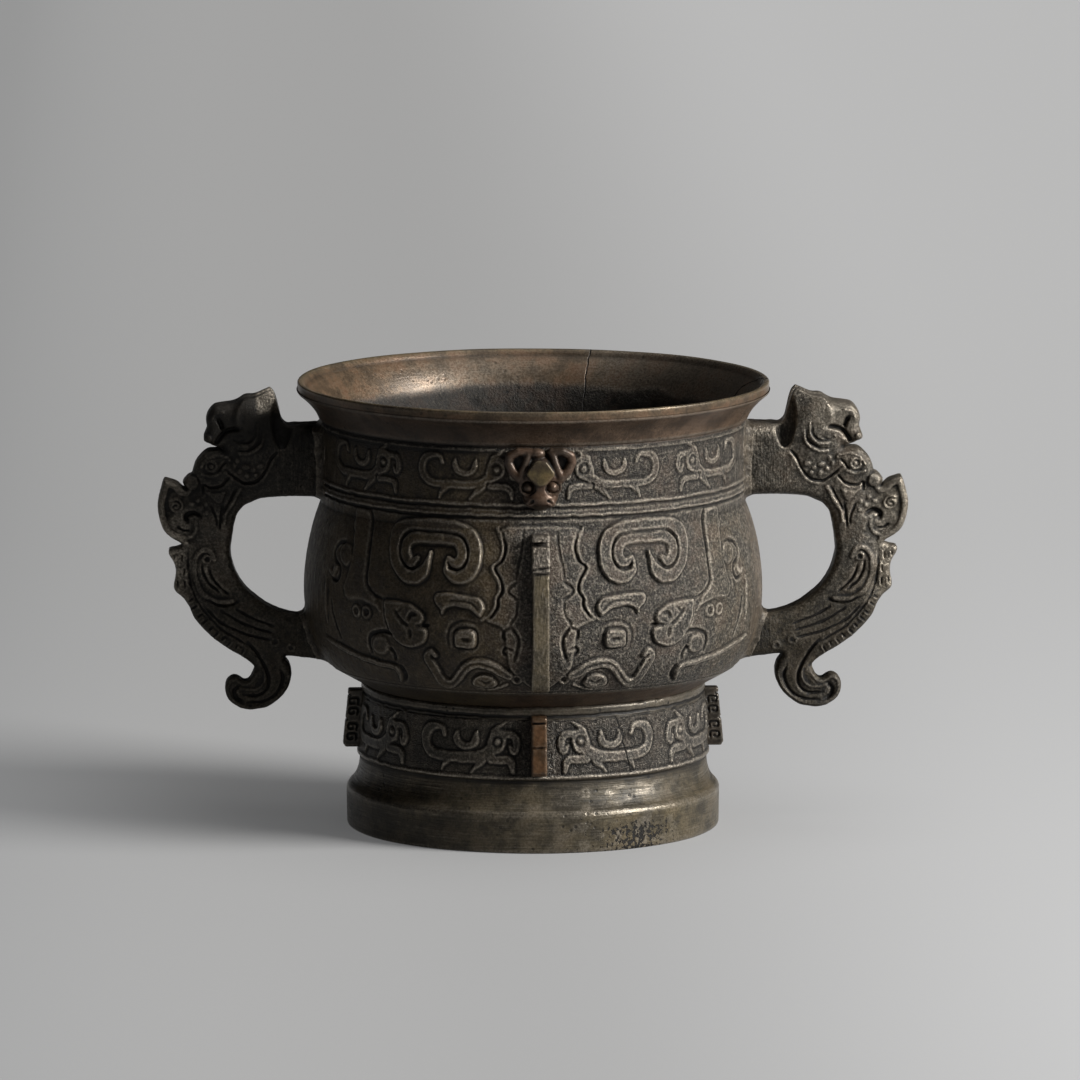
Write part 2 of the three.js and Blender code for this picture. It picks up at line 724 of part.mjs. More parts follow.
// The bowl with its relief, mortises, stud holes, flange grooves and locating ring
function bowl() {
  const ringOuter = COLLAR_RADIUS - FOOT_WALL - GAP;
  const ringInner = ringOuter - LOCATING_RING_WALL;
  const ringFoot = BOWL_FOOT - LOCATING_RING_DEPTH;
  const profile = [
    new THREE.Vector2(0, BOWL_FOOT),
    new THREE.Vector2(ringInner, BOWL_FOOT),
    new THREE.Vector2(ringInner, ringFoot),
    new THREE.Vector2(ringOuter, ringFoot),
    new THREE.Vector2(ringOuter, BOWL_FOOT),
    ...OUTER,
    ...INNER,
    new THREE.Vector2(0, BOWL_FLOOR),
  ];
  let made = solid(turned(profile)).add(bellyRelief());
  const cut = (geometry, facing) => {
    made = made.subtract(solid(geometry.rotateZ(facing)));
  };
  [RIGHT, LEFT].forEach((facing) => {
    cut(tenonBlock(ARMS.upper, GAP), facing);
    cut(tenonBlock(ARMS.lower, GAP), facing);
  });
  [FRONT, BACK].forEach((facing) => {
    cut(maskStud(GAP), facing);
    cut(bellyFlange(GAP), facing);
  });
  return geometryOf(made);
}

// The foot ring with its four flange grooves
function footRing() {
  const cove = new THREE.Path();
  cove.moveTo(PLINTH_RADIUS, PLINTH_HEIGHT);
  cove.quadraticCurveTo(COVE_TOP_RADIUS, PLINTH_HEIGHT + COVE_HEIGHT / 3, COVE_TOP_RADIUS, BAND_FOOT);
  const inside = COLLAR_RADIUS - FOOT_WALL;
  const plinthInside = PLINTH_RADIUS - FOOT_WALL;
  const profile = [
    new THREE.Vector2(plinthInside, 0),
    new THREE.Vector2(PLINTH_RADIUS - PLINTH_CHAMFER, 0),
    new THREE.Vector2(PLINTH_RADIUS, PLINTH_CHAMFER),
    ...cove.getPoints(CURVE_POINTS),
    new THREE.Vector2(BAND_LOWER_RADIUS, BAND_FOOT),
    new THREE.Vector2(BAND_UPPER_RADIUS, BAND_TOP),
    new THREE.Vector2(COLLAR_RADIUS, BAND_TOP),
    new THREE.Vector2(COLLAR_RADIUS, FOOT_TOP),
    new THREE.Vector2(inside, FOOT_TOP),
    new THREE.Vector2(inside, BAND_FOOT),
    new THREE.Vector2(plinthInside, PLINTH_HEIGHT),
    new THREE.Vector2(plinthInside, 0),
  ];
  let made = solid(turned(profile));
  [RIGHT, BACK, LEFT, FRONT].forEach((facing) => {
    made = made.subtract(solid(footFlange(GAP).rotateZ(facing)));
  });
  return geometryOf(made);
}

const DARK_BRONZE = { color: 0x3a3128, roughness: 0.45, metalness: 0.85 };
const WORN_BRONZE = { color: 0x5b4d36, roughness: 0.4, metalness: 0.9 };
const RED_BRONZE = { color: 0x6b4a2c, roughness: 0.42, metalness: 0.9 };
const SOLDER = { color: 0x8d8468, roughness: 0.6, metalness: 0.7 };

const censer = new THREE.Group();

// Adds a named piece with a finish of its own, turned to face a direction
function place(name, geometry, finish, facing = RIGHT) {
  const piece = new THREE.Mesh(geometry, new THREE.MeshStandardMaterial(finish));
  piece.name = name;
  piece.rotation.z = facing;
  censer.add(piece);
}

place("bowl", bowl(), DARK_BRONZE);
place("foot_ring", footRing(), WORN_BRONZE);

const SIDES = { right: RIGHT, left: LEFT };
Object.entries(SIDES).forEach(([side, facing]) => {
  place("handle_" + side, handle(), WORN_BRONZE, facing);
  place("solder_upper_" + side, solderCollar(ARMS.upper), SOLDER, facing);
  place("solder_lower_" + side, solderCollar(ARMS.lower), SOLDER, facing);
});

const FACES = { front: FRONT, back: BACK };
Object.entries(FACES).forEach(([face, facing]) => {
  place("mask_" + face, mask(), RED_BRONZE, facing);
  place("belly_flange_" + face, geometryOf(solid(bellyFlange(0))), RED_BRONZE, facing);
});

Object.entries({ ...SIDES, ...FACES }).forEach(([direction, facing]) => {
  place("foot_flange_" + direction, geometryOf(solid(footFlange(0))), RED_BRONZE, facing);
});

export default censer;
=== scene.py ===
# %% [markdown]
# # Dressing a cast bronze censer
# The censer is a footed bowl with two beast-head handles, cast in bronze and worn by long handling. Its
# measured solids come first. Everything made below stands in the same place as the solid it replaces, so
# the drawing, the looks and the physics stay one object.

# %% Load the measured solids
import math

import bpy
import numpy as np
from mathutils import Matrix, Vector


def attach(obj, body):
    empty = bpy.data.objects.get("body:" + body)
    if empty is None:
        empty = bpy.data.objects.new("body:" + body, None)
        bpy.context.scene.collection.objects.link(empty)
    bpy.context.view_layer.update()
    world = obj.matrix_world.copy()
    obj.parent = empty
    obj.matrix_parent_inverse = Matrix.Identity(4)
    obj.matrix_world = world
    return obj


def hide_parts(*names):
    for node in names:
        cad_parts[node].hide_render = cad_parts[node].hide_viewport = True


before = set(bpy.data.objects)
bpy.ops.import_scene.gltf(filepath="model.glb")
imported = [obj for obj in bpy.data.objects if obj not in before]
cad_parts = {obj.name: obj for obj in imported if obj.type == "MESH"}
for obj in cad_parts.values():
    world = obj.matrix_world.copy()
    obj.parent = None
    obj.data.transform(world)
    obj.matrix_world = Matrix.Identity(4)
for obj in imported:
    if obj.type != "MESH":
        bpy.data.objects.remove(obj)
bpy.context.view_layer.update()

MM = 0.001

# %% [markdown]
# ## The camera
# A long lens far away keeps the rim and the foot nearly parallel, as a studio picture of a vessel does.
# The camera could be dragged into place by eye. Here its distance, height and turn are written as
# numbers, so the view is the same on every run. The vessel stands turned by two degrees, which is why the
# front flange is a little right of the middle.

# %% Place the camera
CAMERA_DISTANCE = 3.6
CAMERA_TURN = math.radians(-1.9)
CAMERA_RISE = math.radians(8.7)
CAMERA_AIM = Vector((2.3 * MM, 0, 95 * MM))

camera_back = Vector(
    (
        math.sin(CAMERA_TURN) * math.cos(CAMERA_RISE),
        -math.cos(CAMERA_TURN) * math.cos(CAMERA_RISE),
        math.sin(CAMERA_RISE),
    )
)
camera_data = bpy.data.cameras.new("front_camera")
camera_data.lens = 360
camera_data.sensor_width = 36
camera = bpy.data.objects.new("front_camera", camera_data)
camera.location = CAMERA_AIM + camera_back * CAMERA_DISTANCE
camera.rotation_euler = (-camera_back).to_track_quat("-Z", "Y").to_euler()
bpy.context.collection.objects.link(camera)
bpy.context.scene.camera = camera
print("camera at", [round(v, 3) for v in camera.location])

# %% [markdown]
# ## Nodes in few words
# Materials in Blender are graphs. A graph is easier to read when a value, a link and a node are each made
# by one short call, so the helpers below take a number or a socket alike.

# %% Helpers that build shader graphs
def feed(tree, socket, value):
    if isinstance(value, bpy.types.NodeSocket):
        tree.links.new(value, socket)
    else:
        socket.default_value = value


def add_node(tree, kind, inputs=None, **settings):
    node = tree.nodes.new(kind)
    for name, value in settings.items():
        setattr(node, name, value)
    for name, value in (inputs or {}).items():
        feed(tree, node.inputs[name], value)
    return node


def calc(tree, operation, first, second=0.0, clamp=False):
    node = add_node(tree, "ShaderNodeMath", operation=operation, use_clamp=clamp)
    feed(tree, node.inputs[0], first)
    feed(tree, node.inputs[1], second)
    return node.outputs[0]


def plus(tree, first, second, clamp=False):
    return calc(tree, "ADD", first, second, clamp)


def minus(tree, first, second, clamp=False):
    return calc(tree, "SUBTRACT", first, second, clamp)


def times(tree, first, second, clamp=False):
    return calc(tree, "MULTIPLY", first, second, clamp)


def blend_colours(tree, share, first, second):
    node = add_node(tree, "ShaderNodeMix", data_type="RGBA")
    feed(tree, node.inputs[0], share)
    feed(tree, node.inputs[6], first)
    feed(tree, node.inputs[7], second)
    return node.outputs[2]


def between(tree, value, low, high, out_low=0.0, out_high=1.0):
    node = add_node(tree, "ShaderNodeMapRange", interpolation_type="SMOOTHSTEP")
    for index, given in enumerate((value, low, high, out_low, out_high)):
        feed(tree, node.inputs[index], given)
    return node.outputs[0]


# %% [markdown]
# A texture needs a place to look at. Generated coordinates stretch with each mesh, so the bronze uses the
# place on the vessel in millimetres, and a grain of one size runs on from piece to piece. Numbers that
# depend on the shape are kept at the points of each mesh and read by name.

# %% Helpers for places, noise and groups
def noise(tree, place, size_mm, detail=3.0, roughness=0.55):
    inputs = {"Vector": place, "Scale": 1.0 / size_mm, "Detail": detail, "Roughness": roughness}
    return add_node(tree, "ShaderNodeTexNoise", inputs).outputs[0]


def painted(tree, name):
    """The number that a mesh keeps at each of its points under this name."""
    return add_node(tree, "ShaderNodeAttribute", attribute_name=name).outputs["Fac"]


def object_place_mm(tree):
    where = add_node(tree, "ShaderNodeTexCoord").outputs["Object"]
    scaled = add_node(tree, "ShaderNodeVectorMath", {0: where}, operation="SCALE")
    scaled.inputs["Scale"].default_value = 1 / MM
    return scaled.outputs[0]


def new_group(name, inputs, outputs):
    tree = bpy.data.node_groups.new(name, "ShaderNodeTree")
    for socket_name, kind, default in inputs:
        socket = tree.interface.new_socket(socket_name, in_out="INPUT", socket_type=kind)
        socket.default_value = default
    for socket_name, kind in outputs:
        tree.interface.new_socket(socket_name, in_out="OUTPUT", socket_type=kind)
    return tree, tree.nodes.new("NodeGroupInput"), tree.nodes.new("NodeGroupOutput")


NUMBER = "NodeSocketFloat"
COLOUR = "NodeSocketColor"

# %% [markdown]
# ## The table
# The vessel stands on a seamless pale sheet. Its colour is painted darker at the left and paler towards
# the window, a painted falloff of the window's light, and a painted glow lifts its shadow at the left. Lamps
# strong enough to make the sheet that pale would bleach the bronze, so part of its brightness is a glow that
# only the camera and mirroring metal see.

# %% Make the table
FLOOR_HALF = 40.0
SHEET_PAINTED_DIM_LEFT = (0.14, 0.141, 0.142, 1)
SHEET_AT_RIGHT = (0.315, 0.317, 0.32, 1)
SHEET_BOUNCE = (0.08, 0.08, 0.08, 1)
SHEET_GLOW = (0.992, 1.0, 1.01, 1)


def seen_directly(tree):
    """One for what is seen straight or mirrored in metal, and nothing for light that only bounces."""
    path = add_node(tree, "ShaderNodeLightPath")
    seen = calc(tree, "MAXIMUM", path.outputs["Is Camera Ray"], path.outputs["Is Glossy Ray"])
    return calc(tree, "MAXIMUM", seen, path.outputs["Is Transmission Ray"])


def make_floor():
    corners = [(x * FLOOR_HALF, y * FLOOR_HALF, 0) for x, y in ((-1, -1), (1, -1), (1, 1), (-1, 1))]
    mesh = bpy.data.meshes.new("table_sheet")
    mesh.from_pydata(corners, [], [(0, 1, 2, 3)])
    floor = bpy.data.objects.new("table_sheet", mesh)
    bpy.context.collection.objects.link(floor)
    material = bpy.data.materials.new("pale_paper")
    material.use_nodes = True
    tree = material.node_tree
    shader = tree.nodes["Principled BSDF"]
    shader.inputs["Roughness"].default_value = 0.9
    shader.inputs["Specular IOR Level"].default_value = 0.1
    place = add_node(tree, "ShaderNodeTexCoord").outputs["Object"]
    apart = add_node(tree, "ShaderNodeSeparateXYZ", {0: place})
    across, away = apart.outputs[0], apart.outputs[1]
    near_glow = between(tree, across, -0.03, 0.2, 0.103, 0.278)
    far_glow = between(tree, across, -0.02, 0.22, 0.041, 0.168)
    # Painted light: a glow that lifts the cast shadow on the left of the sheet.
    painted_fill_left = between(tree, across, -0.2, -0.09, 0.113, 0.0)
    depth = between(tree, away, -0.45, 0.8)
    fibre = times(tree, noise(tree, place, 0.002, detail=2.0), 0.008)
    glow = times(tree, near_glow, minus(tree, 1.0, depth))
    glow = plus(tree, glow, times(tree, far_glow, depth))
    glow = plus(tree, glow, painted_fill_left)
    seen = seen_directly(tree)
    # Painted shade: the sheet's colour is darker at the left, as the window's light falls off.
    to_right = between(tree, across, -0.22, -0.09)
    sheet_painted_falloff = blend_colours(tree, to_right, SHEET_PAINTED_DIM_LEFT, SHEET_AT_RIGHT)
    feed(tree, shader.inputs["Base Color"], blend_colours(tree, seen, SHEET_BOUNCE, sheet_painted_falloff))
    shader.inputs["Emission Color"].default_value = SHEET_GLOW
    feed(tree, shader.inputs["Emission Strength"], times(tree, seen, plus(tree, glow, fibre)))
    mesh.materials.append(material)


make_floor()
print("table sheet:", 2 * FLOOR_HALF, "m wide")

# %% [markdown]
# ## The lamps and the room
# The light comes from a low window at the right, with a weak light overhead. Area lamps could stand for
# both, but a sun lamp with a wide angle gives the same soft edge of shadow everywhere. The room is dark
# apart from a pale far wall low down, so that the left side of the bronze stays in deep shade.

# %% Make the lamps and the room
DARK_ROOM = (0.012, 0.012, 0.013, 1)
FAR_WALL = (0.37, 0.37, 0.37, 1)
ROOM_BOUNCE = (0.007, 0.007, 0.0075, 1)
WINDOW_WHITE = (1.0, 0.985, 0.96)
CEILING_WHITE = (1.0, 0.99, 0.98)


def make_lamp(name, turn, rise, strength, angle, colour):
    lamp_data = bpy.data.lights.new(name, "SUN")
    lamp_data.energy = strength
    lamp_data.angle = math.radians(angle)
    lamp_data.color = colour
    lamp = bpy.data.objects.new(name, lamp_data)
    a = math.radians(turn)
    e = math.radians(rise)
    towards = Vector((math.sin(a) * math.cos(e), -math.cos(a) * math.cos(e), math.sin(e)))
    lamp.rotation_euler = towards.to_track_quat("Z", "Y").to_euler()
    bpy.context.collection.objects.link(lamp)


def make_room():
    world = bpy.data.worlds.new("dark_room")
    world.use_nodes = True
    bpy.context.scene.world = world
    tree = world.node_tree
    ground = tree.nodes["Background"]
    direction = add_node(tree, "ShaderNodeTexCoord").outputs["Generated"]
    rise = add_node(tree, "ShaderNodeSeparateXYZ", {0: direction}).outputs[2]
    low_band = between(tree, rise, 0.03, 0.08, 1.0, 0.0)
    shown_room = blend_colours(tree, low_band, DARK_ROOM, FAR_WALL)
    room = blend_colours(tree, seen_directly(tree), ROOM_BOUNCE, shown_room)
    feed(tree, ground.inputs["Color"], room)


make_lamp("window", turn=68, rise=25, strength=5.9, angle=27, colour=WINDOW_WHITE)
make_lamp("ceiling", turn=66, rise=84, strength=0.72, angle=55, colour=CEILING_WHITE)
make_room()
bpy.context.scene.view_settings.view_transform = "Standard"

# %% [markdown]
# ## Drawing on an unrolled wall
# The founder cut the ornament into clay as lines and flat shapes. The same can be done with numbers: a
# sheet holds the width and the height of every point of the unrolled wall, and each stroke raises or
# lowers the points near it. Bump maps could fake this, but real height catches the light at the edges and
# shows in the outline.

# %% Helpers that measure from a drawn line
def smooth_path(points, step=0.35):
    points = np.array(points, float)
    ends = np.vstack([2 * points[0] - points[1], points, 2 * points[-1] - points[-2]])
    drawn = [points[:1]]
    for p0, p1, p2, p3 in zip(ends, ends[1:], ends[2:], ends[3:]):
        count = max(2, int(np.linalg.norm(p2 - p1) / step))
        t = np.linspace(0, 1, count + 1)[1:, None]
        bend = (2 * p0 - 5 * p1 + 4 * p2 - p3) * t**2 + (3 * p1 - p0 - 3 * p2 + p3) * t**3
        drawn.append(p1 + 0.5 * (p2 - p0) * t + 0.5 * bend)
    return np.vstack(drawn)


def path_distance(u, z, path):
    starts = path[:-1]
    legs = np.diff(path, axis=0)
    lengths = np.maximum((legs**2).sum(1), 1e-9)
    along_u = u[:, None] - starts[:, 0]
    along_z = z[:, None] - starts[:, 1]
    share = np.clip((along_u * legs[:, 0] + along_z * legs[:, 1]) / lengths, 0, 1)
    gap = np.hypot(along_u - share * legs[:, 0], along_z - share * legs[:, 1])
    nearest = gap.argmin(1)
    rows = np.arange(len(u))
    return gap[rows, nearest], (nearest + share[rows, nearest]) / len(starts)


def inside_outline(u, z, path):
    inside = np.zeros(u.shape, bool)
    for (u0, z0), (u1, z1) in zip(path, np.roll(path, -1, axis=0)):
        if z0 != z1:
            crossing = u0 + (z - z0) * (u1 - u0) / (z1 - z0)
            inside ^= ((z0 > z) != (z1 > z)) & (u < crossing)
    return inside


def soft_step(value):
    value = np.clip(value, 0, 1)
    return value * value * (3 - 2 * value)


def up_from(value, start, width):
    """Nothing up to the start, then a smooth rise to one over the width."""
    return soft_step((value - start) / width)


def down_to(value, end, width):
    """One at first, then a smooth fall over the width to nothing at the end."""
    return soft_step((end - value) / width)


def hill(value, middle, spread):
    """One at the middle, fading to nothing on both sides."""
    return np.exp(-(((value - middle) / spread) ** 2))


# %% [markdown]
# ## The strokes
# A stroke is a stripe, a flat plate, a knob, a ring or a cut line. Each raised one gets a narrow moat
# beside it, as a graver leaves, because that dark line is what makes low relief readable.

# %% Helpers that draw relief on a sheet
def new_sheet(u, z):
    layers = {name: np.zeros(u.shape) for name in ("raised", "cut", "moat")}
    return {"u": u, "z": z, **layers}


def near(sheet, path, reach):
    low = path.min(0) - reach
    high = path.max(0) + reach
    u, z = sheet["u"], sheet["z"]
    return (u > low[0]) & (u < high[0]) & (z > low[1]) & (z < high[1])


MOAT_WIDTH = 0.6


def raise_by(sheet, chosen, inward, height, edge, moat, crown=0.0):
    level = height * soft_step(inward / edge + 0.5) + crown * np.sqrt(np.clip(inward, 0, None))
    sheet["raised"][chosen] = np.maximum(sheet["raised"][chosen], np.where(inward > -edge / 2, level, 0))
    ditch = moat * soft_step(1 - np.abs(inward + MOAT_WIDTH / 2) / MOAT_WIDTH)
    sheet["moat"][chosen] = np.maximum(sheet["moat"][chosen], np.where(inward < 0.1, ditch, 0))


def ridge(sheet, points, width, height, tips=(1, 1), taper=0.15, edge=0.55, moat=0.3, crown=0.0):
    """A raised stripe; tips are the shares of its width at its two ends."""
    path = smooth_path(points)
    chosen = near(sheet, path, width + 2)
    gap, share = path_distance(sheet["u"][chosen], sheet["z"][chosen], path)
    grown = tips[0] + (1 - tips[0]) * soft_step(share / taper)
    grown = grown * (tips[1] + (1 - tips[1]) * soft_step((1 - share) / taper))
    raise_by(sheet, chosen, width * grown / 2 - gap, height, edge, moat, crown)


def plate(sheet, points, height, edge=0.6, moat=0.3, crown=0.0):
    path = smooth_path(list(points) + [points[0]])
    chosen = near(sheet, path, 2.5 + edge)
    u, z = sheet["u"][chosen], sheet["z"][chosen]
    gap, _ = path_distance(u, z, path)
    inward = np.where(inside_outline(u, z, path), gap, -gap)
    raise_by(sheet, chosen, inward, height, edge, moat, crown)


def round_path(centre, radii):
    """Seventeen points of an oval, the last on the first."""
    turn = np.linspace(0, 2 * math.pi, 17)
    return [(centre[0] + radii[0] * math.cos(a), centre[1] + radii[1] * math.sin(a)) for a in turn]


def boss(sheet, centre, radii, height, moat=0.35):
    plate(sheet, round_path(centre, radii)[:-1], height * 0.6, moat=moat, crown=height * 0.3)


def ring(sheet, centre, radius, width, height, moat=0.3):
    ridge(sheet, round_path(centre, (radius, radius)), width, height, edge=0.5, moat=moat)


def groove(sheet, points, width, depth):
    path = smooth_path(points)
    chosen = near(sheet, path, width + 1)
    gap, share = path_distance(sheet["u"][chosen], sheet["z"][chosen], path)
    fade = soft_step(8 * share) * soft_step(8 * (1 - share)) * 0.6 + 0.4
    sheet["cut"][chosen] = np.maximum(sheet["cut"][chosen], depth * fade * soft_step(1.3 - 2 * gap / width))


# %% [markdown]
# ## The unsteady hand
# Nothing cut by hand is quite straight. Blender's noise texture could bend a shader, but here the points
# themselves have to move, so a small table of seeded random numbers is blended into smooth swells.

# %% Helpers for unevenness
SWELLS = np.random.default_rng(7).uniform(-1, 1, (32, 32, 32))
CORNERS = [(i, j, k) for i in (0, 1) for j in (0, 1) for k in (0, 1)]


def swells(places, size):
    """Smooth random numbers from -1 to 1, about one swell in each size."""
    scaled = places / size + 3.7 * size
    cell = np.floor(scaled).astype(int)
    share = soft_step(scaled - cell)
    total = np.zeros(places.shape[:-1])
    for corner in CORNERS:
        index = (cell + corner) % 32
        weight = np.where(corner, share, 1 - share).prod(-1)
        total += weight * SWELLS[index[..., 0], index[..., 1], index[..., 2]]
    return total


def unsteady_sheet(u, z, amount, size):
    """A sheet whose lines waver as lines cut by hand do."""
    places = np.stack([u, z, 0 * u], axis=-1)
    return new_sheet(u + amount * swells(places, size), z + amount * swells(places + 40, size))


def sheet_height(sheet):
    covered = soft_step(sheet["raised"] / 0.5)
    return sheet["raised"] - 0.7 * sheet["moat"] * (1 - covered) - sheet["cut"]


print("swells:", SWELLS.shape, "from", round(SWELLS.min(), 3), "to", round(SWELLS.max(), 3))

# %% [markdown]
# ## The beast mask on the belly
# Each half of the belly shows a horned mask split by the flange: a horn drawn as a double scroll, a
# crescent brow, a square eye with a slit, a lobed ear, a jaw that curls at its end, and a smaller dragon
# behind it. One quarter is drawn, in millimetres round the wall from the flange and up from the table,
# and the others are its mirror images.

# %% Draw the horn and the eye
def draw_horn(sheet):
    outer = [(31.4, 98.2), (31.2, 95.2), (27.8, 93.3), (24.2, 94.4), (22.2, 97.2), (21.5, 100.6), (21.8, 104)]
    outer += [(23.4, 107), (26.5, 108.8), (31, 109.3), (37, 109.4), (43, 109.3), (47.2, 108.4), (49.8, 106)]
    outer += [(50.6, 102.6), (50.4, 98.6), (48.8, 95), (45.4, 92.6), (41.8, 93), (39, 95.6), (37, 101)]
    ridge(sheet, outer, 4.5, 0.85, tips=(0.3, 0.2), taper=0.12, moat=0.35)
    inner = [(30.6, 99.2), (28.2, 97.8), (26.2, 99.2), (25.9, 102.2), (27.4, 104.6), (31, 105.4), (37, 105.5)]
    inner += [(42.4, 105.2), (45.4, 103.8), (46.5, 101.4), (46, 98.6), (44, 97.2), (42, 98.4)]
    ridge(sheet, inner, 3.7, 0.75, tips=(0.5, 0.5), taper=0.1, moat=0.35)
    line = [(29.6, 96.2), (26.6, 96.4), (24.3, 98.8), (23.8, 102.4), (25.2, 105.6), (28.4, 107.1)]
    line += [(37, 107.3), (43.6, 107.1), (47, 105.6), (48.5, 102.4), (48.2, 98.6), (46, 95.6), (43, 95.6)]
    groove(sheet, line, 0.8, 0.6)


def squared(share):
    """Sine or cosine swelled towards a square with round corners."""
    return math.copysign(abs(share) ** 0.55, share)


def draw_eye(sheet):
    brow = [(19.5, 81.5), (18.5, 84), (19.5, 86.5), (22.5, 87.6), (26.5, 88), (30.5, 88.2), (34.5, 88)]
    brow += [(35.7, 86.5), (35, 84.5), (33.3, 82.8), (33, 81.3), (31.5, 83), (29, 84), (26.5, 84)]
    brow += [(23.5, 83.3), (21.5, 82.2), (20, 81)]
    plate(sheet, brow, 0.8, moat=0.45)
    groove(sheet, [(20.6, 83.4), (23, 85.4), (27, 85.9), (31, 85.7)], 0.8, 0.35)
    turn = np.linspace(0, 2 * math.pi, 25)[:-1]
    ball = [(24.9 + 3.6 * squared(math.cos(a)), 73.5 + 3.1 * squared(math.sin(a))) for a in turn]
    plate(sheet, ball, 1.0, edge=0.9, moat=1.2, crown=0.1)
    groove(sheet, [(23.6, 73.4), (26.2, 73.4)], 1.5, 0.9)
    groove(sheet, [(20.4, 78.4), (25, 79.4), (29.4, 78), (31, 74), (30.4, 70)], 0.9, 0.3)


# %% [markdown]
# The forehead beside the flange is a low plate with a scalloped edge. Under it the jaw runs out as a long
# wave and curls back at its tip.

# %% Draw the forehead and the jaw
def draw_forehead(sheet):
    scallops = [(12.5, 109.5), (11, 104), (12, 99.5), (14.5, 97), (12.5, 92.5), (12, 89.5), (13.5, 87)]
    scallops += [(13.6, 85), (14.6, 83), (16, 81), (18, 80)]
    outline = [(-4, 110.4)] + scallops + [(12.4, 77), (11, 70), (8.5, 62), (-4, 58)]
    plate(sheet, outline, 0.45, edge=0.7, moat=0.15)
    groove(sheet, [(u + 0.4, z) for u, z in scallops], 0.9, 0.6)
    ridge(sheet, [(u + 1.4, z) for u, z in scallops], 1.0, 0.3, moat=0)
    groove(sheet, [(5.5, 108.5), (6, 102.5), (7.5, 96), (8, 93.5)], 0.9, 0.35)
    groove(sheet, [(7.5, 92.5), (10.6, 89.5), (7.5, 86.8)], 1.0, 0.5)
    groove(sheet, [(7.5, 86.5), (8, 82), (9.5, 79.5), (10, 77.5)], 0.9, 0.4)
    groove(sheet, [(9.6, 77.6), (7.6, 75), (7.2, 72), (7.8, 68.6), (8.4, 66.6)], 1.2, 0.8)
    groove(sheet, [(9.6, 77.4), (11.8, 76.6), (12.4, 74.6), (11.6, 73.4)], 0.9, 0.6)
    groove(sheet, [(9, 70.4), (11.4, 71), (12.2, 69.6), (11, 68)], 0.9, 0.6)


def draw_jaw(sheet):
    jaw = [(10, 61.3), (13, 62.8), (15.5, 64.3), (18.5, 65.2), (21.5, 65.2), (24, 64.2), (26, 62.2)]
    jaw += [(27.6, 59.6), (29.5, 57.9), (31.5, 58), (33.8, 60), (35.8, 63), (37.6, 65.6), (38.2, 67.4)]
    jaw += [(36.8, 68.6), (35.4, 67.4)]
    ridge(sheet, jaw, 3.2, 0.75, tips=(0.8, 0.5), moat=0.4)
    groove(sheet, jaw[1:10], 0.9, 0.3)
    nostril = [(14, 58.6), (16, 61), (19.5, 61.4), (22, 59.8), (21.6, 57.4), (18, 56.8), (15, 57.2)]
    plate(sheet, nostril, 0.6, moat=0.7)
    groove(sheet, [(16.4, 59.6), (18, 58.6), (19.8, 59.6)], 0.9, 0.4)
    ring(sheet, (7.6, 60), 1.4, 1.0, 0.4, moat=0.3)
    ridge(sheet, [(11, 58), (14, 56.4), (17, 55.9)], 0.9, 0.3)


# %% [markdown]
# Behind the eye stands the lobed ear, and past it a smaller dragon, hardly more than lines, fades out
# towards the handle.

# %% Draw the ear and the side dragon
def draw_ear(sheet):
    ear = [(55, 84.2), (48.5, 84.2), (45, 83.7), (42.3, 82.7), (40.3, 81.2), (39.5, 79.3), (40.6, 77.2)]
    ear += [(38.7, 75.8), (38.4, 73.6), (39.5, 71.2), (43.5, 69.5), (46.5, 69.9), (49.7, 71.1), (52.2, 73.6)]
    ear += [(53.7, 76.6), (54.6, 80)]
    plate(sheet, ear, 0.85, moat=0.45)
    groove(sheet, [(55.6, 84.4), (55.3, 80), (54.3, 76.4), (52.8, 73.2)], 1.0, 0.6)
    groove(sheet, [(42.2, 80.8), (44.2, 80.6), (44.8, 79)], 1.5, 0.8)
    groove(sheet, [(50.6, 81.4), (48.8, 79.2), (45.4, 76.8)], 1.3, 0.7)
    groove(sheet, [(44.8, 75.6), (44.4, 73.2)], 1.5, 0.8)
    groove(sheet, [(38, 77.3), (42, 76.9)], 1.0, 0.8)
    groove(sheet, [(47.6, 82.2), (49.6, 80.6)], 1.0, 0.4)


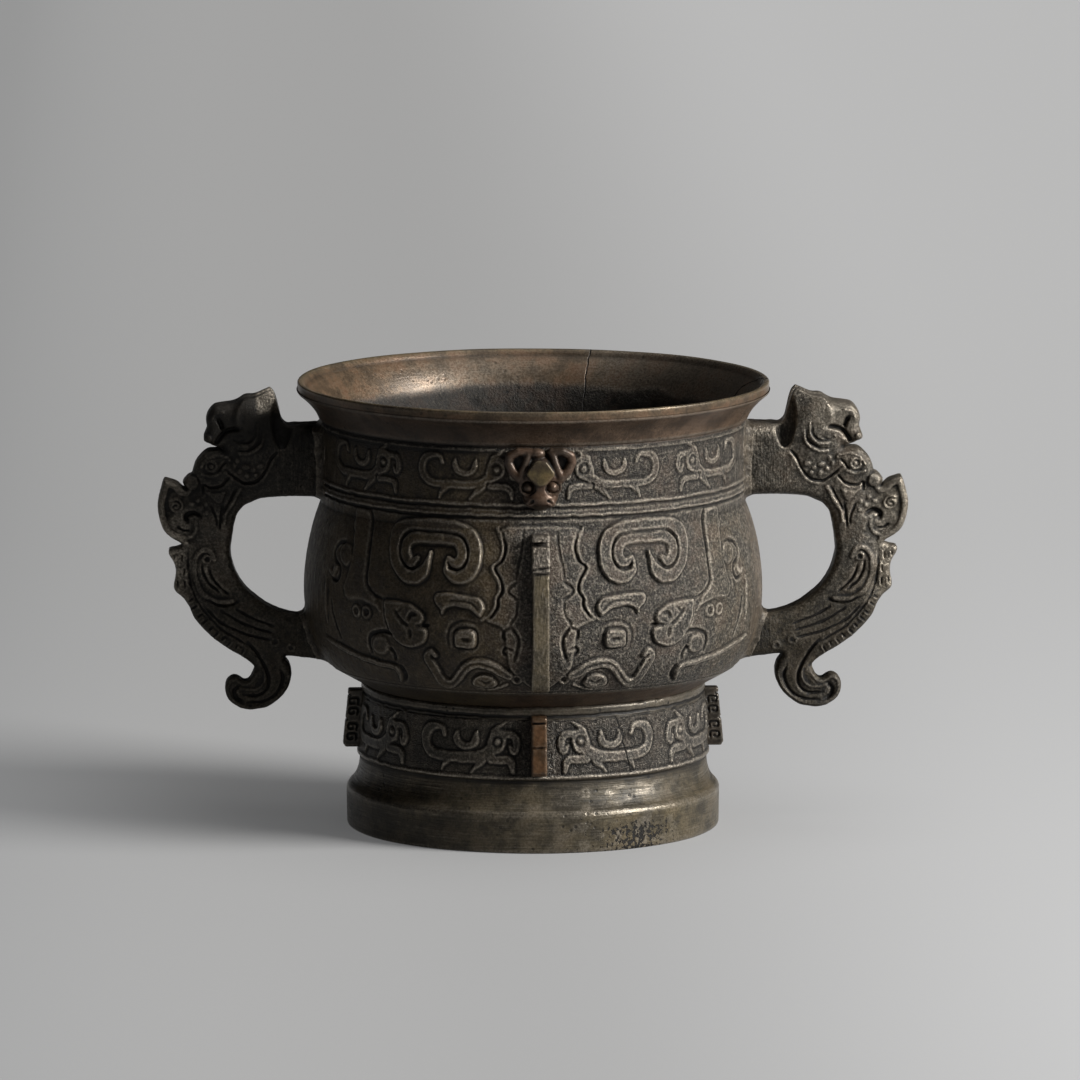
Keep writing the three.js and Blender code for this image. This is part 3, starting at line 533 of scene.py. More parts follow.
def draw_side_dragon(sheet):
    line = [(63, 112), (62, 109), (62, 106.5), (62.5, 103), (63, 98.5), (63.6, 95), (64, 91.5)]
    line += [(63.9, 88.7), (62.5, 87), (60, 85.4), (56.5, 84.2)]
    far_side = [(57, 80), (60, 82), (67, 83), (73, 82.5), (75, 86), (72.5, 92), (70.5, 100), (70, 112)]
    plate(sheet, line[:-1] + far_side, 0.4, edge=1.2, moat=0)
    groove(sheet, [(u - 0.4, z) for u, z in line], 0.9, 0.6)
    head = [(70.6, 96), (72, 99.4), (75.4, 100), (78, 97.4), (77, 94.2), (73.6, 93)]
    plate(sheet, head, 0.4, edge=0.9, moat=0.15)
    groove(sheet, [(75.4, 100.8), (79.4, 99.6), (81.8, 97), (81.2, 94), (78.4, 92.4)], 1.4, 0.9)
    groove(sheet, [(78.2, 92.6), (78, 90), (80, 87.8), (82.6, 88)], 1.2, 0.8)
    ridge(sheet, [(80, 91.6), (81.6, 89.6), (83.6, 90.4)], 1.6, 0.5, moat=0)
    for side in (63.4, 68.4):
        ring(sheet, (side, 79.2), 1.7, 0.9, 0.3, moat=0.3)
    ring(sheet, (69.4, 106.4), 1.6, 0.9, 0.25, moat=0.25)
    groove(sheet, [(51.5, 73.4), (57, 73.4), (61.2, 72), (62.4, 69), (61, 65.8)], 1.3, 0.8)
    haunch = [(53, 68.6), (55, 71.6), (59, 71.6), (60.6, 68.8), (58.6, 66), (55, 66)]
    plate(sheet, haunch, 0.45, edge=1.2, moat=0.2)
    groove(sheet, [(53.4, 68.4), (51.6, 66.6), (50.8, 64.4)], 1.4, 0.8)
    groove(sheet, [(48.8, 62), (47, 59.6), (47, 57.6)], 1.4, 0.8)
    sweep = [(88, 67.6), (80, 66), (72, 64.6), (64, 63.2), (57, 62.4), (51.4, 62), (49, 59.6), (48.4, 57.4)]
    ridge(sheet, sweep, 1.7, 0.6, tips=(0.4, 0.6), moat=0.35)
    groove(sheet, [(83.5, 81), (82.3, 76.5), (80.2, 72.5), (77.6, 68.5)], 1.1, 0.6)
    ridge(sheet, [(86.4, 88), (87, 80), (86, 73)], 1.6, 0.35, tips=(0.3, 0.3), taper=0.3, moat=0.1)


BELLY_PARTS = (draw_forehead, draw_horn, draw_eye, draw_jaw, draw_ear, draw_side_dragon)
print("parts of the belly mask:", len(BELLY_PARTS))

# %% [markdown]
# ## The dragons of the two friezes
# The neck and the foot each carry a row of small dragons that walk towards the middle: a hanging trunk, a
# ringed eye under a horn, a jaw, a long body with two feet, a tail that curls over, and a U-shaped cloud
# above the back. One dragon is drawn once, from its snout and from the foot of its frieze, and set down
# wherever it is wanted. Those on the foot have broader strokes.

# %% Draw one dragon of a frieze
def draw_dragon(sheet, start, foot, stretch=1.0, broad=1.0):
    def at(points):
        return [(start + s * stretch, foot + t) for s, t in points]

    head = [(3.8, 14.7), (6, 15.9), (8.5, 15.6), (9.8, 13.2), (10.4, 10.2), (9.4, 7.2), (7.3, 7.8)]
    head += [(5.3, 8.8), (4.4, 10.3), (4, 12.4)]
    plate(sheet, at(head), 0.6, moat=0.4)
    trunk = [(4.6, 14.4), (1.8, 14.3), (0.6, 12.7), (0.5, 10.4), (1.5, 9), (2.6, 10.4)]
    ridge(sheet, at(trunk), 1.8 * broad, 0.55, tips=(1, 0.5), moat=0.35)
    ridge(sheet, at([(4.2, 18.4), (6.2, 16.9), (8.4, 15.4)]), 1.4, 0.55, tips=(0.3, 1), taper=0.6)
    eye_rim = [(8.4, 11.8), (7.7, 13.2), (6.2, 13.2), (5.4, 11.8), (6.2, 10.4), (7.7, 10.4), (8.4, 11.8)]
    groove(sheet, at(eye_rim), 0.8, 0.4)
    boss(sheet, at([(6.9, 11.8)])[0], (0.9, 0.9), 1.1, moat=0)
    jaw = [(9, 6), (5, 6), (2.6, 5.4), (1.8, 2.2)]
    ridge(sheet, at(jaw), 2.1 * broad, 0.6, tips=(1, 0.5), taper=0.35, moat=0.4)
    body = [(8, 10), (9.6, 9.2), (12, 7.4), (15, 6.4), (19.5, 6.3), (24.5, 6.3), (29, 6.6), (31.8, 8.2)]
    body += [(32.8, 10.4), (32.6, 13.2), (31, 15.3), (28.5, 16), (26.3, 15.6), (25.4, 13.4)]
    ridge(sheet, at(body), 2.6 * broad, 0.6, tips=(1, 0.4), taper=0.2, moat=0.35)
    cloud = [(14, 14.6), (14.4, 11.9), (15.6, 10.5), (17.5, 10), (19.6, 10.6), (20.9, 12), (21, 14.5)]
    ridge(sheet, at(cloud), 1.8 * broad, 0.55, tips=(0.5, 0.5), moat=0.35)
    ridge(sheet, at([(11.4, 6), (14, 3.6), (16, 1.6)]), 2.2, 0.55, tips=(1, 0.3), taper=0.8)
    ridge(sheet, at([(24, 5.6), (26, 3.2), (26.6, 1.6)]), 2.0, 0.55, tips=(1, 0.3), taper=0.8)


# %% [markdown]
# ## The turned wall of the bowl
# The bowl is a body of revolution: one profile of radius and height, turned once. A Screw modifier would
# do that, but the relief has to push each point of the wall out along its own normal, so the wall is a
# grid made in code, with its rows close together where there is ornament and further apart where the
# metal is plain.

# %% Helpers for profiles and grids
def straight(start, end, pitch):
    count = max(1, round(math.dist(start, end) / pitch))
    t = np.linspace(0, 1, count + 1)[1:, None]
    return np.array(start) + t * (np.array(end, float) - np.array(start))


def bent(start, pull, end, pitch):
    count = max(2, round((math.dist(start, pull) + math.dist(pull, end)) / pitch))
    t = np.linspace(0, 1, count + 1)[1:, None]
    return (1 - t) ** 2 * np.array(start) + 2 * t * (1 - t) * np.array(pull) + t**2 * np.array(end)


def profile_of(start, *steps):
    """Points from the start on. A step is an end and a pitch, with a pull before them where it bends."""
    parts = [np.array([start])]
    for *pull, end, pitch in steps:
        parts.append(bent(start, *pull, end, pitch) if pull else straight(start, end, pitch))
        start = end
    return np.vstack(parts)


def profile_normals(profile):
    along = np.gradient(profile, axis=0)
    outward = np.stack([along[:, 1], -along[:, 0]], axis=1)
    return outward / np.linalg.norm(outward, axis=1)[:, None]


# %% [markdown]
# Every piece is then one mesh, filled in bulk from arrays, with a named number at each point for how
# worn, dirty or bare the metal is there; in places the numbers for wear and dirt also hold painted
# highlights and painted shade. The shaders read those numbers, so the looks follow the shape.

# %% Helpers that make a piece
def mesh_piece(name, points_mm, quads, material, attributes=None):
    mesh = bpy.data.meshes.new(name)
    mesh.vertices.add(len(points_mm))
    mesh.vertices.foreach_set("co", (points_mm * MM).astype(np.float32).ravel())
    mesh.loops.add(quads.size)
    mesh.loops.foreach_set("vertex_index", quads.astype(np.int32).ravel())
    mesh.polygons.add(len(quads))
    mesh.polygons.foreach_set("loop_start", np.arange(0, quads.size, 4, dtype=np.int32))
    mesh.update(calc_edges=True)
    mesh.validate()
    mesh.shade_smooth()
    for label, values in (attributes or {}).items():
        kind = "FLOAT_VECTOR" if values.ndim == 2 else "FLOAT"
        layer = mesh.attributes.new(label, kind, "POINT")
        layer.data.foreach_set("vector" if values.ndim == 2 else "value", values.astype(np.float32).ravel())
    mesh.materials.append(material)
    piece = bpy.data.objects.new(name, mesh)
    bpy.context.collection.objects.link(piece)
    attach(piece, "root")
    print(name, "points:", len(points_mm), "faces:", len(quads))
    return piece


def some_faces(points, quads, attributes, chosen):
    """The chosen faces as a mesh of their own."""
    kept, renumbered = np.unique(quads[chosen], return_inverse=True)
    fewer = {label: values[kept] for label, values in attributes.items()}
    return points[kept], renumbered.reshape(-1, 4), fewer


# %% [markdown]
# Hands and cloths reach the edges of a casting and never its hollows. A point that stands out from the
# mean of its neighbours counts as worn, and one that lies below them counts as dirty. An ambient
# occlusion node could do nearly the same while rendering, but numbers that are kept in the mesh go
# wherever the mesh goes.

# %% Helpers that find edges and hollows
def neighbour_mean(values, first, second, count):
    values = values.reshape(len(count), -1)
    total = np.empty_like(values)
    for k in range(values.shape[1]):
        total[:, k] = np.bincount(first, values[second, k], len(count))
        total[:, k] += np.bincount(second, values[first, k], len(count))
    return (total / count[:, None]).squeeze()


def point_normals(points, quads):
    across = np.cross(points[quads[:, 2]] - points[quads[:, 0]], points[quads[:, 3]] - points[quads[:, 1]])
    normals = np.zeros_like(points)
    for k in range(3):
        for corner in range(4):
            normals[:, k] += np.bincount(quads[:, corner], across[:, k], len(points))
    return normals / np.maximum(np.linalg.norm(normals, axis=1), 1e-9)[:, None]


def roughen(points, quads, swell_list, share=1.0):
    """Push the points in and out by random swells, each given as a size and a depth."""
    push = share * sum(depth * swells(points, size) for size, depth in swell_list)
    return points + point_normals(points, quads) * push[:, None]


def wear_and_dirt(points, quads, scale, passes=2):
    first = quads.ravel()
    second = np.roll(quads, -1, axis=1).ravel()
    size = len(points)
    count = np.maximum(np.bincount(first, minlength=size) + np.bincount(second, minlength=size), 1)
    normals = point_normals(points, quads)
    bend = ((neighbour_mean(points, first, second, count) - points) * normals).sum(1)
    wide = bend
    for step in range(passes + 10):
        wide = 0.3 * wide + 0.7 * neighbour_mean(wide, first, second, count)
        if step == passes - 1:
            bend = wide
    worn_and_lit = np.clip(-bend / scale, 0, 1)
    dirt_and_shade = np.clip(bend / scale, 0, 1) * 0.7 + np.clip(wide / scale * 4, 0, 1) * 0.5
    return {"worn_and_lit": worn_and_lit, "dirt_and_shade": np.clip(dirt_and_shade, 0, 1)}


def add_to(attributes, name, amount):
    attributes[name] = np.clip(attributes[name] + amount, 0, 1)


# %% [markdown]
# ## The bronze itself
# Old bronze is a dark brown skin with black in every hollow, bright brass where hands have rubbed the
# edges, and patches of red and olive. Four shader groups hold what the pieces share. The first gives the
# colour and the gloss of the skin from how worn, how bare or how hollow each point is. In places the
# numbers for wear and dirt also hold painted highlights and painted shade, which get the same rubbed brass
# and black.

# %% Shader group for the bronze skin
DARK_SKIN = (0.038, 0.032, 0.026, 1)
PALE_SKIN = (0.07, 0.063, 0.053, 1)
DRY_SKIN = (0.125, 0.115, 0.1, 1)
OLIVE_SKIN = (0.15, 0.118, 0.06, 1)
SKIN_PORE = (0.006, 0.005, 0.004, 1)
BRIGHT_SPECK = (0.28, 0.248, 0.2, 1)
OLIVE_METAL = (0.15, 0.116, 0.052, 1)
METAL_SHADE = (0.012, 0.01, 0.008, 1)
METAL_PORE = (0.015, 0.012, 0.009, 1)
RED_PATCH = (0.105, 0.044, 0.018, 1)
RUBBED_AND_LIT_METAL = (0.325, 0.287, 0.235, 1)
BLACK_SOIL_AND_SHADE = (0.005, 0.004, 0.003, 1)


def make_skin_group():
    inputs = [
        ("Worn and Lit", NUMBER, 0.0),
        ("Dirt and Shade", NUMBER, 0.0),
        ("Bare", NUMBER, 0.0),
        ("Olive", NUMBER, 0.0),
        ("Brass", NUMBER, 0.5),
        ("Red", NUMBER, 0.2),
        ("Light", NUMBER, 0.5),
        ("Bare Tone", COLOUR, (0.1, 0.075, 0.05, 1)),
    ]
    outputs = [("Colour", COLOUR), ("Roughness", NUMBER), ("Metal", NUMBER)]
    tree, given, made = new_group("bronze_skin", inputs, outputs)
    place = object_place_mm(tree)
    bare = given.outputs["Bare"]
    broad = noise(tree, place, 26.0, detail=4.0)
    patch = noise(tree, place, 9.0, detail=5.0, roughness=0.65)
    speck = noise(tree, place, 0.8, detail=3.0, roughness=0.7)
    brown = blend_colours(tree, between(tree, broad, 0.35, 0.65), DARK_SKIN, PALE_SKIN)
    brown = blend_colours(tree, given.outputs["Light"], brown, DRY_SKIN)
    olive = times(tree, between(tree, patch, 0.34, 0.56, 0.25, 1.0), given.outputs["Olive"], True)
    brown = blend_colours(tree, olive, brown, OLIVE_SKIN)
    speckle = between(tree, speck, 0.42, 0.6)
    dark = blend_colours(tree, 0.8, brown, SKIN_PORE)
    mottled = blend_colours(tree, speckle, dark, brown)
    mottled = blend_colours(tree, between(tree, speck, 0.55, 0.68, 0.0, 0.7), mottled, BRIGHT_SPECK)
    tone = blend_colours(tree, olive, given.outputs["Bare Tone"], OLIVE_METAL)
    smooth = blend_colours(tree, 0.6, tone, METAL_SHADE)
    smooth = blend_colours(tree, between(tree, patch, 0.36, 0.64), smooth, tone)
    smooth = blend_colours(tree, between(tree, speck, 0.38, 0.56, 0.35, 0.0), smooth, METAL_PORE)
    skin = blend_colours(tree, bare, mottled, smooth)
    red_share = times(tree, between(tree, patch, 0.46, 0.66), given.outputs["Red"], True)
    skin = blend_colours(tree, red_share, skin, RED_PATCH)
    # The worn numbers also hold painted highlights, so this rubbed brass is a painted highlight there.
    rub_and_lit = plus(tree, given.outputs["Worn and Lit"], times(tree, between(tree, patch, 0.4, 0.75), 0.2))
    rub_and_lit = times(tree, rub_and_lit, plus(tree, times(tree, speckle, 0.6), 0.4))
    rub_and_lit = times(tree, rub_and_lit, given.outputs["Brass"], True)
    rubbed_and_lit = blend_colours(tree, rub_and_lit, skin, RUBBED_AND_LIT_METAL)
    # The dirt numbers also hold painted shade, so this black stands for shade there as well as dirt.
    soil_and_shade = times(tree, given.outputs["Dirt and Shade"], 1.15, True)
    colour = blend_colours(tree, soil_and_shade, rubbed_and_lit, BLACK_SOIL_AND_SHADE)
    feed(tree, made.inputs["Colour"], colour)
    rough = plus(tree, times(tree, speckle, 0.1), 0.44)
    rough = minus(tree, rough, times(tree, rub_and_lit, 0.2))
    rough = minus(tree, rough, times(tree, bare, 0.12))
    rough = plus(tree, rough, times(tree, soil_and_shade, 0.25), True)
    feed(tree, made.inputs["Roughness"], rough)
    metal = plus(tree, times(tree, rub_and_lit, 0.55), 0.3)
    metal = minus(tree, metal, times(tree, soil_and_shade, 0.3), True)
    feed(tree, made.inputs["Metal"], metal)
    return tree


BRONZE_SKIN = make_skin_group()
print("group:", BRONZE_SKIN.name, "nodes:", len(BRONZE_SKIN.nodes))

# %% [markdown]
# The other three groups give heights: the grain and the pits of the casting, the square spirals that fill
# the ground between the figures, and the marks that filing leaves. They are too fine for points of the
# mesh, so they go into a bump.

# %% Shader groups for grain, spirals and file marks
def make_grain_group():
    inputs = [("Grain", NUMBER, 0.5), ("Pits", NUMBER, 0.3), ("Eaten", NUMBER, 0.0)]
    tree, given, made = new_group("casting_grain", inputs, [("Height", NUMBER), ("Pit Mask", NUMBER)])
    place = object_place_mm(tree)
    fine = noise(tree, place, 0.75, detail=3.0, roughness=0.7)
    coarse = noise(tree, place, 3.2, detail=3.0)
    height = plus(tree, times(tree, fine, 2.0), times(tree, coarse, 1.2))
    height = times(tree, height, given.outputs["Grain"])
    cells = add_node(tree, "ShaderNodeTexVoronoi", {"Vector": place, "Scale": 1 / 2.6})
    pit = between(tree, cells.outputs["Distance"], 0.12, 0.3, 1.0, 0.0)
    area = between(tree, noise(tree, place, 11.0, detail=3.0), 0.5, 0.62)
    pit = times(tree, times(tree, pit, area), given.outputs["Pits"], True)
    holes = noise(tree, place, 1.2, detail=3.0, roughness=0.6)
    eaten = minus(tree, times(tree, given.outputs["Eaten"], 0.2), 0.2)
    pit = calc(tree, "MAXIMUM", pit, between(tree, plus(tree, holes, eaten), 0.5, 0.56))
    feed(tree, made.inputs["Height"], minus(tree, height, pit))
    feed(tree, made.inputs["Pit Mask"], pit)
    return tree


def make_spiral_group():
    tree, given, made = new_group("square_spirals", [("Cell", NUMBER, 3.2)], [("Height", NUMBER)])
    where = add_node(tree, "ShaderNodeAttribute", attribute_name="wall_place").outputs["Vector"]
    drift = add_node(tree, "ShaderNodeTexNoise", {"Vector": where, "Scale": 0.35, "Detail": 2.0})
    offset = add_node(tree, "ShaderNodeVectorMath", {0: drift.outputs["Color"]}, operation="SCALE")
    offset.inputs["Scale"].default_value = 3.0
    moved = add_node(tree, "ShaderNodeVectorMath", {0: where, 1: offset.outputs[0]}, operation="ADD")
    apart = add_node(tree, "ShaderNodeSeparateXYZ", {0: moved.outputs[0]})
    local = []
    for axis in (0, 1):
        cell = calc(tree, "DIVIDE", apart.outputs[axis], given.outputs["Cell"])
        local.append(minus(tree, calc(tree, "FRACT", cell), 0.5))
    reach = calc(tree, "MAXIMUM", calc(tree, "ABSOLUTE", local[0]), calc(tree, "ABSOLUTE", local[1]))
    turn = calc(tree, "DIVIDE", calc(tree, "ARCTAN2", local[0], local[1]), 2 * math.pi)
    phase = times(tree, plus(tree, times(tree, reach, 5.0), turn), 2 * math.pi)
    feed(tree, made.inputs["Height"], plus(tree, times(tree, calc(tree, "SINE", phase), 0.5), 0.5))
    return tree


def make_mark_group():
    """Fine parallel marks of filing and rubbing, drawn out along the axes that are squeezed most."""
    inputs = [("Squeeze", "NodeSocketVector", (1.0, 1.0, 1.0))]
    tree, given, made = new_group("file_marks", inputs, [("Marks", NUMBER)])
    squeezed = add_node(tree, "ShaderNodeVectorMath", operation="MULTIPLY")
    feed(tree, squeezed.inputs[0], object_place_mm(tree))
    feed(tree, squeezed.inputs[1], given.outputs["Squeeze"])
    feed(tree, made.inputs["Marks"], noise(tree, squeezed.outputs[0], 1.0, detail=3.0, roughness=0.6))
    return tree


CASTING_GRAIN = make_grain_group()
SQUARE_SPIRALS = make_spiral_group()
FILE_MARKS = make_mark_group()
print("groups:", len(bpy.data.node_groups))

# %% [markdown]
# ## The finishes
# The belly, the inside, the foot, the handles and the small pieces differ in tone, wear and grain but are
# one metal, so one function makes all their materials. The marks run upright on what was filed by hand
# and level on what was turned.

# %% Make the finishes
UPRIGHT = (1.5, 1.5, 0.12)
LEVEL = (0.07, 0.07, 1.7)
BUMP_DEPTH = 0.16 * MM


def bronze(name, brass, red, light, grain, pits, tone, spirals=0.0, marks=UPRIGHT, cracked=False):
    """A finish by its shares of rubbed brass, red and pale skin, its grain and pits, and its bare tone."""
    material = bpy.data.materials.new(name)
    material.use_nodes = True
    tree = material.node_tree
    shader = tree.nodes["Principled BSDF"]
    shader.inputs["Specular IOR Level"].default_value = 0.3
    worn_and_lit, dirt_and_shade, bare, filed = (painted(tree, word) for word in ("worn_and_lit", "dirt_and_shade", "bare", "filed"))
    grain_node = add_node(tree, "ShaderNodeGroup", node_tree=CASTING_GRAIN)
    feed(tree, grain_node.inputs["Grain"], between(tree, bare, 0.0, 1.0, grain, 0.2 * grain))
    grain_node.inputs["Pits"].default_value = pits
    feed(tree, grain_node.inputs["Eaten"], painted(tree, "eaten"))
    height = grain_node.outputs["Height"]
    soiled_and_shaded = plus(tree, dirt_and_shade, times(tree, grain_node.outputs["Pit Mask"], 0.8), True)
    mark_node = add_node(tree, "ShaderNodeGroup", node_tree=FILE_MARKS)
    mark_node.inputs["Squeeze"].default_value = marks
    mark = mark_node.outputs["Marks"]
    height = plus(tree, height, times(tree, times(tree, mark, filed), 2.4))
    bright = times(tree, between(tree, mark, 0.52, 0.7, 0.0, 0.8), filed)
    worn_and_lit = plus(tree, worn_and_lit, bright, True)
    smudge = times(tree, between(tree, mark, 0.3, 0.46, 0.5, 0.0), filed)
    soiled_and_shaded = plus(tree, soiled_and_shaded, smudge, True)
    if cracked:
        beside = painted(tree, "crack")
        wander = minus(tree, noise(tree, object_place_mm(tree), 3.0, detail=4.0), 0.5)
        beside = plus(tree, beside, times(tree, wander, 1.8))
        line = between(tree, calc(tree, "ABSOLUTE", beside), 0.14, 0.34, 1.0, 0.0)
        soiled_and_shaded = calc(tree, "MAXIMUM", soiled_and_shaded, line)
        height = minus(tree, height, times(tree, line, 2.0))
    if spirals:
        ground = painted(tree, "ground")
        spiral_node = add_node(tree, "ShaderNodeGroup", node_tree=SQUARE_SPIRALS)
        cut = times(tree, times(tree, spiral_node.outputs["Height"], ground), spirals)
        height = plus(tree, height, cut)
        low = minus(tree, 1.0, spiral_node.outputs["Height"])
        soiled_and_shaded = plus(tree, soiled_and_shaded, times(tree, times(tree, low, ground), 0.4), True)
    inputs = {"Worn and Lit": worn_and_lit, "Dirt and Shade": soiled_and_shaded, "Bare": bare, "Olive": painted(tree, "olive")}
    inputs.update({"Brass": brass, "Red": red, "Light": light, "Bare Tone": (*tone, 1)})
    skin = add_node(tree, "ShaderNodeGroup", node_tree=BRONZE_SKIN)
    bump = add_node(tree, "ShaderNodeBump", {"Height": height, "Strength": 1.0, "Distance": BUMP_DEPTH})
    for socket, value in inputs.items():
        feed(tree, skin.inputs[socket], value)
    feed(tree, shader.inputs["Base Color"], skin.outputs["Colour"])
    feed(tree, shader.inputs["Metallic"], skin.outputs["Metal"])
    feed(tree, shader.inputs["Roughness"], skin.outputs["Roughness"])
    feed(tree, shader.inputs["Normal"], bump.outputs[0])
    return material


RED_BROWN = (0.19, 0.122, 0.078)
BROWN = (0.135, 0.089, 0.052)
OLIVE = (0.11, 0.095, 0.066)
PALE_OLIVE = (0.105, 0.09, 0.064)
COPPER = (0.12, 0.062, 0.026)
BRASS = (0.125, 0.1, 0.055)
RUSSET = (0.085, 0.055, 0.038)
SIDE_SHADE_TONE = (0.04, 0.034, 0.026)
PALE_BROWN = (0.15, 0.12, 0.085)
BOWL_BRONZE = bronze("bowl_bronze", 1.0, 0.18, 0.42, 2.1, 0.35, RED_BROWN, 1.0)
INSIDE_BRONZE = bronze("inside_bronze", 0.8, 0.55, 0.2, 1.2, 0.4, BROWN, marks=LEVEL, cracked=True)
FOOT_BRONZE = bronze("foot_bronze", 0.8, 0.1, 0.4, 1.2, 0.6, PALE_OLIVE, 1.0, marks=LEVEL, cracked=True)
HANDLE_BRONZE = bronze("handle_bronze", 0.9, 0.15, 0.5, 1.2, 0.4, OLIVE)
MASK_BRONZE = bronze("mask_bronze", 0.3, 0.3, 0.3, 0.6, 0.2, RUSSET)
FLANGE_BRONZE = bronze("flange_bronze", 0.7, 0.1, 0.35, 0.8, 0.3, BRASS)
# The flanges under the handles get a near-black tone, which is painted shade.
SIDE_SHADED_BRONZE = bronze("side_flange_shaded_bronze", 0.6, 0.1, 0.3, 0.8, 0.3, SIDE_SHADE_TONE)
COPPER_BRONZE = bronze("copper_bronze", 0.3, 0.5, 0.35, 0.8, 0.3, COPPER)
SOLDER_METAL = bronze("solder_metal", 0.6, 0.0, 0.5, 1.7, 0.5, PALE_BROWN)
print("materials:", len(bpy.data.materials))

# %% [markdown]
# ## The bowl, outside
# The wall runs from the foot up over the belly and the neck to the underside of the lip. The frieze of
# the neck is bounded by two thin ridges below and by the plain band above.

# %% Helpers that turn a profile into a wall
NECK_RADIUS = 70.6
COLLAR_RADIUS = 56.8
SEAT_LEVEL = 48.1
LIP_FOOT = (78.4, 146.2)


def bowl_profile():
    return profile_of(
        (COLLAR_RADIUS, SEAT_LEVEL),
        ((67.8, 54.3), 1.0),
        ((76.4, 62.7), (76.4, 79.5), 0.38),
        ((76.4, 94.25), (NECK_RADIUS, 109), 0.38),
        ((NECK_RADIUS, 134), 0.38),
        ((NECK_RADIUS, 139.65), (77.8, 145.3), 0.7),
        ((78.4, 145.7), LIP_FOOT, 0.25),
    )


def quarter_widths(profile, columns):
    """Millimetres round the wall from the front flange, for the drawn quarter of every row."""
    return profile[:, :1] * (2 * math.pi * np.arange(columns // 4 + 1) / columns)


def fold(columns):
    """Columns of a full turn as columns of the drawn quarter, from the front flange to the side."""
    quarter = columns // 4
    index = np.arange(columns) % (2 * quarter)
    return np.where(index > quarter, 2 * quarter - index, index)


def all_round(columns, *drawn):
    """Numbers of the drawn quarter repeated round the full turn, one for each point of the wall."""
    return (values[:, fold(columns)].ravel() for values in drawn)


def turn_grid(profile, height, columns, closed_rows=False):
    """Points of a turned profile pushed out along its normals, from the front towards the right."""
    normals = profile_normals(profile)
    angle = 2 * math.pi * np.arange(columns) / columns
    radius = profile[:, :1] + normals[:, :1] * height
    level = profile[:, 1:] + normals[:, 1:] * height
    points = np.stack([radius * np.sin(angle), -radius * np.cos(angle), level], axis=2).reshape(-1, 3)
    rows = len(profile)
    row = np.arange(rows if closed_rows else rows - 1)[:, None]
    column = np.arange(columns)[None, :]
    after = (column + 1) % columns
    here = row * columns
    above = (row + 1) % rows * columns
    quads = np.stack([here + column, here + after, above + after, above + column], axis=2)
    return points, quads.reshape(-1, 4)


def hand_made(profile, columns, amount):
    """Slow unevenness of a hand-finished casting."""
    angle = 2 * math.pi * np.arange(columns) / columns
    level = profile[:, 1:]
    waves = np.sin(3 * angle + level / 17) + 0.6 * np.sin(7 * angle - level / 9 + 1)
    return amount * (waves + 0.5 * np.sin(13 * angle + level / 6 + 2))


print("points of the bowl's profile:", len(bowl_profile()))

# %% [markdown]
# The relief goes on first: the parts of the mask on the belly, two dragons on the neck, the ridges that
# bound the frieze and the plain band under the lip.

# %% Draw a quarter of the wall
WALL_COLUMNS = 1440
BELLY_FOOT = 54.6
BELLY_TOP = 112
FRIEZE_FOOT = 117.2
FRIEZE_TOP = 135


def level_line(level, start, middle, end):
    return [(u, level) for u in (start, middle, end)]


def draw_wall(u, z):
    sheet = unsteady_sheet(u, z, 0.22, 2.6)
    for draw_part in BELLY_PARTS:
        draw_part(sheet)
    for start, stretch in ((7.4, 1.0), (49.2, 1.04)):
        draw_dragon(sheet, start, FRIEZE_FOOT, stretch)
    band = up_from(z, 113.2, 0.5) * down_to(z, 117.4, 0.5) * 0.2
    sheet["raised"] = np.maximum(sheet["raised"], band)
    for level in (117.3, 113.9):
        ridge(sheet, level_line(level, -5, 60, 130), 1.0, 0.5, edge=0.5, moat=0.0)
        groove(sheet, level_line(level - 1.1, -40, 60, 170), 1.0, 0.5)
    ridge(sheet, level_line(135.2, -5, 60, 130), 0.8, 0.45, edge=0.4, moat=0.25)
    plain_band = up_from(z, 136.6, 0.7) * 0.4
    sheet["raised"] = np.maximum(sheet["raised"], plain_band)
    sheet["moat"] = np.maximum(sheet["moat"], 0.4 * soft_step(1 - np.abs(z - 136.2) / 0.5))
    sheet["moat"] = np.maximum(sheet["moat"], 0.5 * soft_step(1 - np.abs(z - 54.8) / 0.6))
    return sheet


# %% [markdown]
# The drawn quarter is then repeated round the bowl, and every point gets its numbers for the skin. On the
# left half the skin is made smoother and browner, with more bare metal and olive. The left side of the wall,
# up to the lip, and the underside of the belly are painted darker, as painted shade. The wall is kept as two
# pieces, left and right, which keeps each mesh at a handy size.

# %% Make the outer wall of the bowl
def calm_side(points):
    """One on the smoother left half and nothing on the right."""
    return down_to(points[:, 0], -4, 14)


